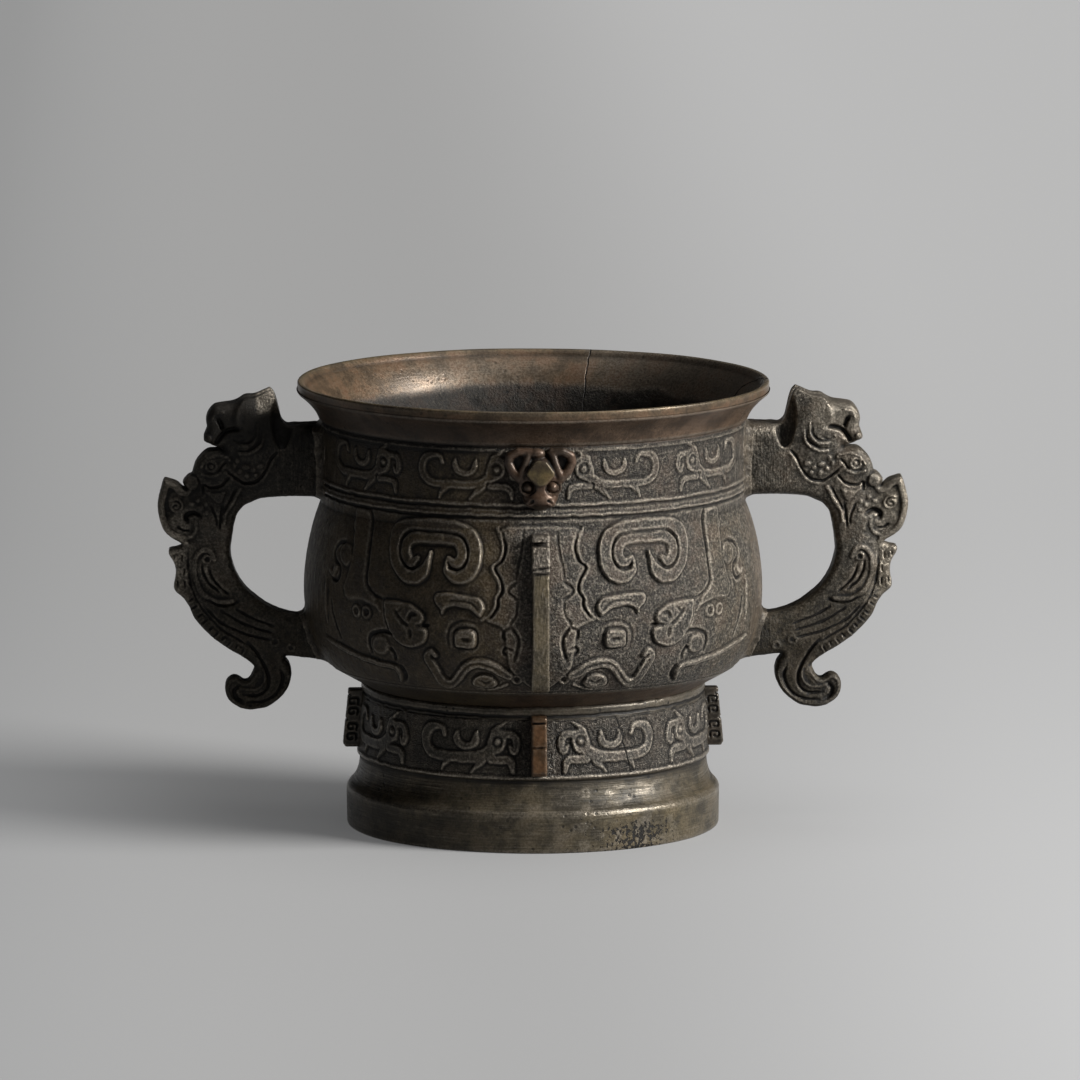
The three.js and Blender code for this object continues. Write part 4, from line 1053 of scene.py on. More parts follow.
def make_bowl_wall():
    profile = bowl_profile()
    u = quarter_widths(profile, WALL_COLUMNS)
    z = np.repeat(profile[:, 1:], u.shape[1], axis=1)
    sheet = draw_wall(u, z)
    on_neck = z > BELLY_TOP
    sheet["moat"] *= np.where(on_neck, 0.4, 0.6)
    sheet["raised"] *= np.where(on_neck, 0.9, 1.4)
    height = sheet_height(sheet)
    bare = np.maximum(up_from(z, 135.8, 0.8), down_to(z, BELLY_FOOT, 0.8))
    bare = np.maximum(bare, 0.35 * up_from(u, 88, 14) * (z < BELLY_TOP))
    ground = soft_step((0.35 - sheet["raised"]) / 0.25) * soft_step(1 - sheet["cut"] / 0.3) * (1 - bare)
    ground = ground * np.where(on_neck, 0.6, 0.3)
    u, z, height, bare, ground = all_round(WALL_COLUMNS, u, z, height, bare, ground)
    full = height.reshape(-1, WALL_COLUMNS) + hand_made(profile, WALL_COLUMNS, 0.05)
    points, quads = turn_grid(profile, full, WALL_COLUMNS)
    points = roughen(points, quads, [(1.3, 0.06), (3.6, 0.09)], 1 - 0.8 * bare)
    attributes = wear_and_dirt(points, quads, 0.032)
    across, _, level = points.T
    low_place = np.clip(-height / 0.6, 0, 1)
    dirt_and_shade = np.clip(0.45 * attributes["dirt_and_shade"] + 0.35 * low_place, 0, 1)
    # Painted shade: the left side of the wall up to the lip and the underside of the belly are darkened.
    under_lip = down_to(across, -5, 30) * up_from(level, 130, 6)
    on_left = down_to(across, -4, 40) * (level < FRIEZE_TOP)
    shaded = 0.35 * under_lip + 0.36 * on_left
    shaded = shaded + 0.25 * down_to(level, BELLY_FOOT, 0.8)
    below_lip = down_to(level, 144.5, 1.5)
    attributes["dirt_and_shade"] = np.clip(dirt_and_shade * below_lip + shaded, 0, 1)
    calm = calm_side(points) * (level < FRIEZE_TOP)
    attributes["ground"] = ground * (1 - 0.6 * calm)
    attributes["bare"] = np.maximum(bare, 0.6 * calm)
    attributes["filed"] = up_from(u, 72, 22) * (z < 136)
    olive = 0.3 * up_from(u, 52, 20) * down_to(z, BELLY_TOP, 4)
    attributes["olive"] = np.maximum(olive, 0.7 * calm)
    attributes["wall_place"] = np.stack([u, z, 0 * z], axis=1)
    on_right = (np.arange(len(quads)) % WALL_COLUMNS) < WALL_COLUMNS // 2
    for side, chosen in (("right", on_right), ("left", ~on_right)):
        half_points, half_quads, half_attributes = some_faces(points, quads, attributes, chosen)
        name = "bowl_wall_" + side
        piece = mesh_piece(name, half_points, half_quads, BOWL_BRONZE, half_attributes)
        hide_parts("bowl")


make_bowl_wall()

# %% [markdown]
# ## The lip, the inside and the underside
# The lip is a plain upright band, worn bright at its edges. Two old cracks show in it: one runs down the
# inside at the back, the other down the flare at the right. Inside, the wall drops to a plain floor.

# %% Make the lip and the inside of the bowl
LIP_COLUMNS = 720
NO_CRACK = 9.0


def inside_profile():
    return profile_of(
        LIP_FOOT,
        ((78.5, 148.4), 0.5),
        ((78.4, 149), (77.8, 149), 0.25),
        ((77.0, 148.9), 0.4),
        ((76.3, 148.7), (75.4, 147), 0.4),
        ((68.6, 140.6), (66.7, 129), 0.7),
        ((66.1, 121), (66.4, 109), 0.9),
        ((72.2, 94.25), (72.2, 79.5), 1.2),
        ((72.2, 52.7), (46, 52.7), 1.5),
        ((0.6, 52.7), 2.5),
    )


def make_inside():
    profile = inside_profile()
    angle = 360 * np.arange(LIP_COLUMNS) / LIP_COLUMNS
    turn = np.repeat(angle[None, :], len(profile), axis=0)
    along = np.concatenate([[0], np.cumsum(np.linalg.norm(np.diff(profile, axis=0), axis=1))])
    run = np.repeat(along[:, None], LIP_COLUMNS, axis=1)
    height = hand_made(profile, LIP_COLUMNS, 0.06)
    reach = math.radians(1) * profile[:, :1]
    behind = (turn - 163.5) * reach
    beside = (turn - 90 - 17 * (1 - np.exp(-np.clip(run - 4, 0, 40) / 4.5))) * reach
    crack = np.where(turn > 135, behind, 0.4 * beside)
    crack = crack + np.sign(crack) * np.clip(run - 29, 0, 40)
    crack = np.where((run < 2.5) & (turn < 135), NO_CRACK, crack)
    rough_floor = up_from(run, 18, 40)
    lumps = np.sin(turn * 0.9 + run * 0.7) * np.sin(turn * 0.37 - run * 0.5)
    height = height + 0.12 * rough_floor * lumps
    points, quads = turn_grid(profile, height, LIP_COLUMNS)
    points = roughen(points, quads, [(2.0, 0.1), (5.0, 0.15)], up_from(run, 18, 5).ravel())
    attributes = wear_and_dirt(points, quads, 0.06)
    attributes["crack"] = crack.ravel()
    edge = hill(run, 3.4, 1.3)
    # Painted highlight: a pale patch where the window shows in the inner flare at the back left. Painted
    # light: the shaded inner flare at the right is made paler.
    rubbed_and_lit = 0.4 * hill(turn, 193, 20) * hill(run, 13, 6)
    painted_fill_right = 0.6 * up_from(turn, 70, 20) * down_to(turn, 172, 20) * down_to(run, 24, 6)
    more_worn_and_lit = (np.maximum(rubbed_and_lit, painted_fill_right) + 0.15 * edge).ravel()
    attributes["worn_and_lit"] = np.clip(0.4 * attributes["worn_and_lit"] + more_worn_and_lit, 0, 1)
    edge_of_bare = 20.5 + 1.6 * swells(np.stack([turn, run / 3, 0 * turn], axis=-1), 9.0)
    bare = soft_step((edge_of_bare - run) / 4)
    mended = down_to(crack, -1, 1.5) * up_from(turn, 70, 5) * (turn < 110)
    mended = mended * up_from(run, 4, 2) * (run < 20)
    attributes["bare"] = bare.ravel()
    add_to(attributes, "worn_and_lit", 0.8 * mended.ravel())
    attributes["olive"] = np.clip(edge + 0.5 * mended, 0, 1).ravel()
    attributes["filed"] = (0.15 * bare).ravel()
    past_edge = soft_step((run.ravel() - 0.6) / 1.5)
    attributes["dirt_and_shade"] = np.clip(attributes["dirt_and_shade"] * past_edge + 0.7 * (1 - bare.ravel()), 0, 1)
    piece = mesh_piece("bowl_lip_and_inside", points, quads, INSIDE_BRONZE, attributes)
    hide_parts("bowl")


make_inside()

# %% [markdown]
# Under its floor the bowl has a flat seat and a locating ring, which drops into the foot ring. They are
# out of sight while the vessel stands, so this profile is coarse.

# %% Make the underside of the bowl
def make_underside():
    columns = 240
    profile = profile_of(
        (0.6, SEAT_LEVEL),
        ((48.7, SEAT_LEVEL), 3),
        ((48.7, 44.5), 1.2),
        ((51.9, 44.5), 1.0),
        ((51.9, SEAT_LEVEL), 1.2),
        ((COLLAR_RADIUS, SEAT_LEVEL), 1.5),
    )
    points, quads = turn_grid(profile, hand_made(profile, columns, 0.04), columns)
    attributes = wear_and_dirt(points, quads, 0.2)
    add_to(attributes, "dirt_and_shade", 0.3)
    attributes["crack"] = np.full(len(points), NO_CRACK)
    piece = mesh_piece("bowl_underside", points, quads, INSIDE_BRONZE, attributes)
    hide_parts("bowl")


make_underside()

# %% [markdown]
# ## The foot ring
# The foot is a collar with two ridges, a frieze band with its dragons, a smooth cove and a plain plinth,
# hollow underneath. It is turned the same way as the wall, with a closed profile.

# %% Draw a quarter of the foot
FOOT_COLUMNS = 1080
BAND_FOOT = 24.6
BAND_RADIUS = 58


def foot_profile():
    profile = profile_of(
        (52.2, 47.8),
        ((COLLAR_RADIUS, 47.8), 1.2),
        ((COLLAR_RADIUS, 43.9), 0.4),
        ((57.3, 43.5), 0.4),
        ((58.5, 23.8), 0.38),
        ((57.9, 23.5), 0.35),
        ((57.9, 16.8), (61.3, 13.9), 0.6),
        ((62.3, 13), (62.3, 11.8), 0.4),
        ((62.1, 0.9), 0.45),
        ((62.1, 0), (61.4, 0), 0.4),
        ((57.6, 0), 1.0),
        ((57.6, 13), 2.5),
        ((52.2, 23.8), 2.5),
        ((52.2, 45), 2.5),
    )
    return profile[::-1]


def draw_foot(u, z):
    sheet = unsteady_sheet(u, z, 0.22, 2.6)
    for start, stretch in ((6.8, 1.0), (48.6, 1.02)):
        draw_dragon(sheet, start, BAND_FOOT, stretch, broad=1.35)
    for level, width, height in ((46.6, 2.4, 0.6), (44.2, 0.9, 0.4), (24.7, 1.2, 0.4)):
        ridge(sheet, level_line(level, -5, 50, 110), width, height, edge=0.4 * width, moat=0.3)
    sheet["moat"] *= 0.5
    return sheet


print("points of the foot's profile:", len(foot_profile()))

# %% [markdown]
# At the front right the plinth is eaten by corrosion and the cove is scratched pale, and one crack slants
# down the band. All of these are placed by the angle round the foot, because they belong to one side
# only.

# %% Make the foot ring
def make_foot():
    profile = foot_profile()
    outer = profile[:, 0] > 56
    u = quarter_widths(profile, FOOT_COLUMNS)
    z = np.where(outer[:, None], profile[:, 1:], -50) + 0 * u
    sheet = draw_foot(u, z)
    height = sheet_height(sheet)
    ground = soft_step((0.35 - sheet["raised"]) / 0.25) * (z > 25.2) * (z < 43.6)
    bare = np.maximum(down_to(z, BAND_FOOT, 0.8), up_from(z, 43.4, 0.5))
    u, z, height, bare, ground = all_round(FOOT_COLUMNS, u, z, height, bare, ground)
    uneven = hand_made(profile, FOOT_COLUMNS, 0.05) * outer[:, None]
    full = height.reshape(-1, FOOT_COLUMNS) + uneven
    points, quads = turn_grid(profile, full, FOOT_COLUMNS, closed_rows=True)
    points = roughen(points, quads, [(1.3, 0.05), (3.6, 0.08)], 1 - 0.7 * bare)
    attributes = wear_and_dirt(points, quads, 0.04)
    across, away, level = points.T
    shown = outer.repeat(FOOT_COLUMNS)
    turn = np.degrees(np.arctan2(across, -away))
    scale_patch = hill(turn, 36, 20) * down_to(level, 14, 3) * shown
    attributes["eaten"] = 1.2 * hill(turn, 32, 15) * down_to(level, 11, 4) * shown
    calm = calm_side(points)
    attributes["bare"] = np.maximum(bare, 0.5 * calm)
    attributes["filed"] = bare * (1 - 0.7 * scale_patch) * np.where(level < 30, 0.5, 0.3)
    attributes["olive"] = np.clip(0.22 * bare + 0.4 * scale_patch, 0, 1)
    low_place = np.clip(-height / 0.6, 0, 1)
    # The collar and the plinth are made darker.
    darker_collar_and_plinth = 0.35 * up_from(level, 43, 1) + 0.2 * down_to(level, 12, 3)
    in_cove = up_from(level, 12, 2) * down_to(level, 23, 1)
    # Painted light: on the left half the cove keeps less of its dirt, which lifts the shade there.
    held_dirt_with_painted_lift = (0.7 - 0.5 * in_cove * (across < 0)) * attributes["dirt_and_shade"]
    attributes["dirt_and_shade"] = np.clip(held_dirt_with_painted_lift + 0.5 * low_place + darker_collar_and_plinth, 0, 1)
    drawn_out = np.stack([across / 3.6, away / 3.6, level / 1.2], axis=1)
    scratched = soft_step(swells(drawn_out, 1.0) / 0.5) * hill(turn, 27, 23)
    scratched = scratched * up_from(level, 12, 2) * down_to(level, 23, 3)
    pale = soft_step(swells(points, 3.0) / 0.3) * hill(turn, 27, 20)
    scratched = scratched + 0.8 * pale * down_to(level, 12, 2) * shown
    add_to(attributes, "worn_and_lit", 0.9 * scratched)
    beside = (turn - 26.6 - (43.9 - level) * 0.264) * math.radians(1) * BAND_RADIUS
    in_band = (level > BAND_FOOT) & (level < 44) & shown
    attributes["crack"] = np.where(in_band, beside, NO_CRACK)
    attributes["ground"] = ground * (1 - 0.5 * calm)
    attributes["wall_place"] = np.stack([u, z, 0 * z], axis=1)
    piece = mesh_piece("foot_ring_dressed", points, quads, FOOT_BRONZE, attributes)
    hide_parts("foot_ring")


make_foot()

# %% [markdown]
# ## Sculpting small castings
# Handles, masks and flanges are lumps with rounded edges, undercuts and holes, which a turned grid can't
# give. They are sculpted instead as a field: a formula that is negative inside the metal and positive
# outside. Laying a fine lattice over the field and putting one point in every cell that the surface
# passes through gives the mesh.

# %% Helpers that turn a field into a mesh
CELL_EDGES = [(a, b) for a in CORNERS for b in CORNERS if a < b and math.dist(a, b) == 1]
PART_SIZE = 4000


def lattice(low, high, pitch):
    axes = [np.arange(start, end + pitch, pitch) for start, end in zip(low, high)]
    return np.meshgrid(*axes, indexing="ij")


def surface_points(values, low, pitch):
    inside = values < 0
    sizes = [n - 1 for n in values.shape]
    full = np.zeros(sizes, np.int8)
    for i, j, k in CORNERS:
        full += inside[i : i + sizes[0], j : j + sizes[1], k : k + sizes[2]]
    cells = np.argwhere((full > 0) & (full < 8))
    total = np.zeros(cells.shape)
    hits = np.zeros(len(cells))
    for start, end in CELL_EDGES:
        at_start = values[tuple((cells + start).T)]
        at_end = values[tuple((cells + end).T)]
        crossed = (at_start < 0) != (at_end < 0)
        share = np.where(crossed, at_start / np.where(crossed, at_start - at_end, 1), 0)
        total += crossed[:, None] * (np.array(start) + share[:, None] * np.subtract(end, start))
        hits += crossed
    number = np.full(sizes, -1)
    number[tuple(cells.T)] = np.arange(len(cells))
    return np.array(low) + pitch * (cells + total / hits[:, None]), number


def surface_faces(values, number):
    inside = values < 0
    faces = []
    for axis in range(3):
        side_a, side_b = [k for k in range(3) if k != axis]
        before = np.take(inside, range(inside.shape[axis] - 1), axis)
        after = np.take(inside, range(1, inside.shape[axis]), axis)
        at = np.argwhere(before != after)
        room = (at[:, side_a] > 0) & (at[:, side_b] > 0)
        room &= (at[:, side_a] < inside.shape[side_a] - 1) & (at[:, side_b] < inside.shape[side_b] - 1)
        at = at[room]
        step_a = np.eye(3, dtype=int)[side_a]
        step_b = np.eye(3, dtype=int)[side_b]
        ring_of_cells = [at - step_a - step_b, at - step_b, at, at - step_a]
        quad = np.stack([number[tuple(cell.T)] for cell in ring_of_cells], axis=1)
        leaving = before[tuple(at.T)] ^ (axis == 1)
        faces.append(np.where(leaving[:, None], quad, quad[:, ::-1]))
    return np.vstack(faces)


def sculpt(low, high, pitch, field):
    values = field(*lattice(low, high, pitch))
    points, number = surface_points(values, low, pitch)
    return points, surface_faces(values, number)


print("edges of a cell:", len(CELL_EDGES))

# %% [markdown]
# A few simple fields are enough: an egg, a slab with rounded edges and a flat outline. They are joined or
# carved with a small blend, which gives the soft inner corners of a casting.

# %% Helpers that join and carve fields
def soft_join(first, second, blend):
    mix = np.clip(0.5 + 0.5 * (second - first) / blend, 0, 1)
    return second + (first - second) * mix - blend * mix * (1 - mix)


def soft_carve(solid, tool, blend):
    return -soft_join(-solid, tool, blend)


def egg(x, y, z, centre, radii):
    scaled = np.sqrt(sum(((p - c) / r) ** 2 for p, c, r in zip((x, y, z), centre, radii)))
    return (scaled - 1) * min(radii)


def rounded_slab(flat_distance, aside, half, radius):
    across = flat_distance + radius
    over = np.abs(aside) - half + radius
    outer = np.hypot(np.maximum(across, 0), np.maximum(over, 0))
    return np.minimum(np.maximum(across, over), 0) + outer - radius


def signed_distance(u, z, path):
    """Distance from an outline, negative inside, worked out part by part to spare memory."""
    gap = np.empty(u.size)
    flat_u, flat_z = u.ravel(), z.ravel()
    for start in range(0, u.size, PART_SIZE):
        part = slice(start, start + PART_SIZE)
        gap[part], _ = path_distance(flat_u[part], flat_z[part], path)
    gap = gap.reshape(u.shape)
    return np.where(inside_outline(u, z, path), -gap, gap)


def turn_half(points):
    return points * (-1, -1, 1)


def mirrored(points, quads):
    """The piece for the other side. Its faces run the other way round, so that they still face out."""
    return points * (-1, 1, 1), quads[:, ::-1]


# %% [markdown]
# ## The handles
# Each handle is a loop with a beast's head on its upper arm. The beast spits out a second, smaller head,
# whose wing and fins make the back of the loop, and a hooked pendant hangs from the lower arm. The
# founder would carve this in wax from the side, so it is drawn from the side too: an outline, a thickness
# that changes from place to place, and lines cut in both faces. The left handle is the mirror image of
# the right one, with painted shade on its upper part and a painted highlight at its ear tip. The left handle
# is the mirror image of
# the right one, with more tarnish.

# %% Draw a handle from the side
def handle_outline():
    arm_top = [(68.8, 134.6), (74.8, 134.8), (82.5, 134.5), (86, 135.6)]
    crown = [(89.5, 139.6), (94, 142), (99, 142), (103, 141.6), (106.2, 140.9)]
    snout = [(108.2, 138.5), (108.8, 136.2), (108.5, 133.5), (109.5, 130.8), (109.4, 129.4), (107.6, 128.4)]
    mouth = [(106.2, 127.8), (103.2, 126.9), (105.6, 126.4)]
    second_head = [(108, 126.2), (110.2, 124.7), (112.5, 121.7), (113.5, 118.3)]
    knob = [(114.4, 117.8), (116, 116.4), (116.6, 115), (115.8, 113.6)]
    wing = [(116.6, 113.6), (118.9, 115.4), (122.1, 116.4), (122.9, 116), (124.1, 112.3), (125, 107.8)]
    wing += [(124.5, 103.3), (122.9, 99.2), (120.4, 96.8), (117.8, 95.4), (116.9, 94.3)]
    fins = [(118.5, 93.6), (120.9, 93.1), (121.4, 92.3), (121.1, 90.7), (119.3, 87.3), (119.1, 83.8)]
    fins += [(119.7, 80.3), (119.3, 78.8), (116.6, 76.5), (114.7, 73.8)]
    lower_edge = [(113.2, 70.3), (110.5, 66.7), (106.7, 63), (101.7, 59.5), (96.7, 56.4), (93.7, 54)]
    hook = [(93, 53), (93.7, 50.6), (95.2, 48.6), (96.7, 48.4), (99, 49.8), (100.9, 49.6), (102.5, 47.9)]
    hook += [(102.8, 45.5), (102.1, 42.8), (99.8, 40.5), (96.7, 39.1), (92.9, 38.9), (88.3, 39.9)]
    hook += [(84.5, 42.8), (81.8, 46.3), (80.7, 50.6), (81.3, 54), (82.8, 56.8)]
    arm_foot = [(76.1, 56.4), (70.3, 55.6), (66.5, 55.4), (72.5, 70.4)]
    hole = [(79.2, 70.8), (84.5, 72.1), (88.8, 74.1), (94.2, 78.2), (97.5, 82.2), (99.5, 86.3), (100.5, 89.7)]
    hole += [(100.8, 93.4), (99.8, 100.4), (98.8, 104.5), (97.5, 106.5), (94.8, 108.5), (88.5, 110.5)]
    hole += [(74.2, 110.9), (68.8, 111)]
    outline = arm_top + crown + snout + mouth + second_head + knob + wing + fins + lower_edge + hook
    return smooth_path(outline + arm_foot + hole + arm_top[:1], 0.8)


def handle_thickness(x, z):
    """Half the depth of the handle at each place of its side view, blended from a few chosen ones."""
    arms = [(76, 122.6, 8.8), (84, 124, 8.8), (78, 63.5, 6.5), (90, 64.5, 6.4), (100, 68, 6.2)]
    heads = [(92, 128, 9.2), (92, 137, 8.6), (99, 137, 7.6)]
    heads += [(106, 134, 6.2), (104, 121, 7.4), (110, 119, 6.2)]
    loop = [(100, 111, 6.6), (106, 103, 6.6), (104, 92, 6.4), (109, 88, 6), (107, 77, 6.2)]
    thin = [(118, 109, 4.2), (123, 106, 3.4), (119, 99, 3.8)]
    thin += [(119.5, 91, 3.4), (117.5, 82, 3.8), (114.5, 116, 4)]
    hook = [(90, 52, 4.8), (84, 45, 4.5), (92, 41.5, 4.4), (100, 45, 4.2)]
    weight = np.zeros(x.shape)
    total = np.zeros(x.shape)
    for place_x, place_z, half in arms + heads + loop + thin + hook:
        near_by = 1 / (((x - place_x) ** 2 + (z - place_z) ** 2) ** 1.5 + 2)
        weight += near_by
        total += near_by * half
    return total / weight


print("points of the handle's outline:", len(handle_outline()))

# %% [markdown]
# The lines come next. The large head has a collar, cheeks in two folds, a deep mouth and a patch of
# curls. The small head that comes out of it has a ringed eye, a chin and a knob at its back.

# %% Draw the lines of the two heads
def draw_head_lines(sheet):
    collar = [(85.5, 126), (87.4, 123.6), (89.8, 118.8), (92.6, 116.2)]
    collar += [(95.6, 115.6), (98.6, 117), (102.4, 120.2)]
    groove(sheet, collar, 1.0, 0.8)
    ridge(sheet, [(x - 0.4, z - 0.9) for x, z in collar], 0.9, 0.25, moat=0)
    groove(sheet, [(96, 130.4), (98.2, 129.7), (100, 130.4)], 0.7, 0.5)
    groove(sheet, [(97.4, 134.1), (101.4, 133.3), (104, 131.2), (105.9, 128)], 1.8, 1.8)
    ridge(sheet, [(100.2, 130.9), (103.4, 129.2), (107, 127)], 1.0, 0.2)
    groove(sheet, [(103.2, 133.4), (103.8, 135.4), (104.6, 136.8)], 1.7, 1.5)
    ridge(sheet, [(103.4, 139.4), (106, 138.6), (107, 136.4)], 1.0, 0.4)
    boss(sheet, (108.6, 130.2), (1.6, 1.6), 1.0)
    for shift in (0, 2.6):
        cheek = [(91.6 - shift * 0.7, 135.2), (92 - shift * 0.6, 131.3), (94.3, 128.6), (97.8, 128.4)]
        cheek = [(x, z - shift) for x, z in cheek]
        ridge(sheet, cheek, 1.0, 0.4)
        groove(sheet, [(x + 0.6, z + 0.9) for x, z in cheek], 0.8, 0.6)
    curls = [(90.9, 121.6, 1.1), (93.2, 120.2, 0.9), (95.6, 121.2, 1.2)]
    curls += [(97.6, 119.6, 0.9), (92.4, 118.4, 0.8)]
    for x, z, size in curls:
        boss(sheet, (x, z), (size, size * 0.8), 0.7, moat=0.4)
    for x, z, size in ((95.2, 118.2, 1.0), (99.4, 121.4, 0.8), (98.4, 123.2, 0.9), (101, 123.6, 0.7)):
        boss(sheet, (x, z), (size * 0.8, size), 0.6, moat=0.4)


def draw_second_head(sheet):
    ridge(sheet, [(101.6, 124.4), (105, 125), (108.4, 123.6), (110.6, 121)], 0.9, 0.5)
    ring(sheet, (107.2, 121.3), 1.7, 0.8, 0.5)
    boss(sheet, (107.2, 121.3), (0.8, 0.8), 0.7, moat=0)
    groove(sheet, [(102.2, 122.8), (103.6, 121.2), (104.8, 119.4)], 0.9, 0.7)
    ridge(sheet, [(104.2, 119), (107, 117.9), (110.2, 118.6)], 0.9, 0.45)
    groove(sheet, [(100.8, 117.9), (103.6, 114.9), (107.2, 113.9), (109.6, 114.9), (109.8, 112.2)], 1.0, 0.9)
    chin = [(102.2, 113), (105.6, 112.2), (109.2, 112.8), (106.8, 110.6), (104.2, 108.9)]
    plate(sheet, chin, 0.5, moat=0.6)
    boss(sheet, (113.6, 115.6), (2.3, 2.3), 1.6)
    ridge(sheet, [(97.4, 113.5), (100, 108.9), (102.2, 105), (102.8, 102)], 1.1, 0.45)
    groove(sheet, [(98.9, 113.4), (101.4, 109), (103.4, 105)], 0.8, 0.6)


# %% [markdown]
# The wing carries a spiral and beads, and a long feather runs down from it along the loop. Small brackets
# in a row follow the back down to the hook.

# %% Draw the lines of the wing and the arm
def draw_wing_lines(sheet):
    turns = np.linspace(0, 3.2 * math.pi, 18)
    reach = np.linspace(2.5, 0.5, 18)
    spiral = [(119 + r * math.cos(a + 1), 107.6 + r * math.sin(a + 1)) for a, r in zip(turns, reach)]
    ridge(sheet, spiral, 0.8, 0.5)
    groove(sheet, [(110.7, 104.2), (113.2, 105.4), (115.5, 104.2), (115.2, 102.4)], 1.8, 1.6)
    ridge(sheet, [(112.5, 102.6), (112.6, 98.8), (115.2, 97), (118.4, 97.8)], 1.2, 0.5)
    groove(sheet, [(114.4, 99.4), (116.6, 99.4), (118.4, 100.6)], 0.8, 0.6)
    groove(sheet, [(103.4, 108), (104, 104), (104.4, 100)], 0.9, 0.7)
    groove(sheet, [(107.4, 108), (105.8, 104.6), (105.2, 101)], 0.9, 0.6)
    beads = [(109, 108.4, 0.8), (110.8, 107.2, 0.9), (111.6, 109.6, 0.7)]
    beads += [(108.6, 105.6, 0.8), (113.6, 108.4, 0.8)]
    for x, z, size in beads:
        boss(sheet, (x, z), (size, size), 0.6, moat=0.3)
    feather = [(106.2, 90), (107.6, 92.6), (110.6, 92.7), (112.6, 89.8), (112.7, 84.2), (110.4, 78.8)]
    feather += [(105.8, 75.8), (100, 75.6)]
    ridge(sheet, feather, 1.6, 0.6, moat=0.5)
    ring(sheet, (108.6, 90), 1.2, 0.8, 0.5)
    groove(sheet, [(110.2, 88.2), (109.8, 85), (107.8, 81.6), (104.8, 79)], 1.0, 0.9)
    groove(sheet, [(108, 87.3), (107.2, 84.4), (105, 81), (101.6, 78.2)], 0.9, 0.8)
    groove(sheet, [(98.4, 75.8), (101, 74.6), (104.6, 74.6), (109, 76.6)], 0.9, 0.8)


def draw_mark(sheet, x, z, turn):
    """A small bracket of three straight strokes, as a row of them runs along the back of the loop."""
    cos, sin = math.cos(math.radians(turn)), math.sin(math.radians(turn))
    corners = [(-1.6, -1.2), (-1.6, 1.3), (1.0, 1.3), (1.0, -0.4)]
    placed = [(x + a * cos - b * sin, z + a * sin + b * cos) for a, b in corners]
    for start, end in zip(placed, placed[1:]):
        middle = ((start[0] + end[0]) / 2, (start[1] + end[1]) / 2)
        groove(sheet, [(a + 0.5 * cos, b + 0.5 * sin) for a, b in (start, middle, end)], 0.8, 0.6)
        ridge(sheet, [start, middle, end], 0.6, 0.4, moat=0)


def draw_arm_lines(sheet):
    groove(sheet, [(98.9, 73), (93.5, 70), (86.6, 67.4)], 0.9, 0.7)
    groove(sheet, [(103.9, 72.6), (98.1, 69), (92.4, 66.6), (86.6, 65)], 0.9, 0.7)
    groove(sheet, [(109.6, 74), (105, 69.2), (98.9, 66), (94.3, 64.2), (87.4, 62.8)], 0.9, 0.7)
    back = [(115, 92), (114.6, 84), (112.8, 77.6), (109, 71.6), (103.6, 66.2), (98, 62.6), (94.6, 60.6)]
    groove(sheet, back, 0.8, 0.6)
    marks = [(118, 90, 0), (117.4, 85.8, 5), (117, 81.2, 0), (113.6, 74.6, 55), (110.4, 69.6, 50)]
    marks += [(106.6, 65.2, 45), (102.4, 61.9, 38), (98, 59.2, 32)]
    for x, z, turn in marks:
        draw_mark(sheet, x, z, turn)
    hook = [(95.4, 62), (92.8, 59), (90.4, 54.8), (88.8, 51.2), (88.2, 48), (89.8, 45)]
    hook += [(93, 43.6), (96.6, 44)]
    groove(sheet, hook, 1.1, 0.9)
    ridge(sheet, [(89.8, 52.6), (89.6, 49), (91.4, 46.4), (94.4, 45.6), (98, 46.4)], 0.8, 0.4)
    groove(sheet, [(98, 46.9), (99.7, 45.2), (99, 42.8), (97.4, 41.8)], 1.5, 1.0)
    groove(sheet, [(84.6, 53.4), (83.6, 50), (84.4, 46.6), (87, 43.4), (91, 41.6), (95.4, 41.4)], 0.9, 0.7)
    ring(sheet, (86.3, 62), 1.3, 0.7, 0.3)
    ring(sheet, (80.9, 60), 1.2, 0.7, 0.3)


HANDLE_PARTS = (draw_head_lines, draw_second_head, draw_wing_lines, draw_arm_lines)
print("groups of lines on a handle:", len(HANDLE_PARTS))

# %% [markdown]
# The ears stand up at the back of the head as two pointed cups, open towards the bowl. They are made as
# leaf-shaped blades, hollowed from the bowl's side, and melted into the crown.

# %% Sculpt the handles
HANDLE_PITCH = 0.37
HANDLE_LOW = (66.0, -12.0, 37.0)
HANDLE_HIGH = (126.6, 12.0, 149.4)


def ear_field(x, y, z):
    outline = [(84.2, 132), (84.3, 138), (85.8, 144), (87.2, 146), (88, 146.3), (92.6, 144)]
    outline += [(96.5, 142.6), (97, 134)]
    flat_x, flat_z = x[:, 0, :], z[:, 0, :]
    side = signed_distance(flat_x, flat_z, smooth_path(outline + outline[:1], 0.8))[:, None, :]
    aside = np.abs(y) - 4.3
    rise = np.clip((z - 130) / 16.6, 0, 1)
    half = 3.3 * np.sqrt(np.clip(1 - rise**2.4, 0, 1)) + 0.4
    return np.maximum(side, np.abs(aside) - half)


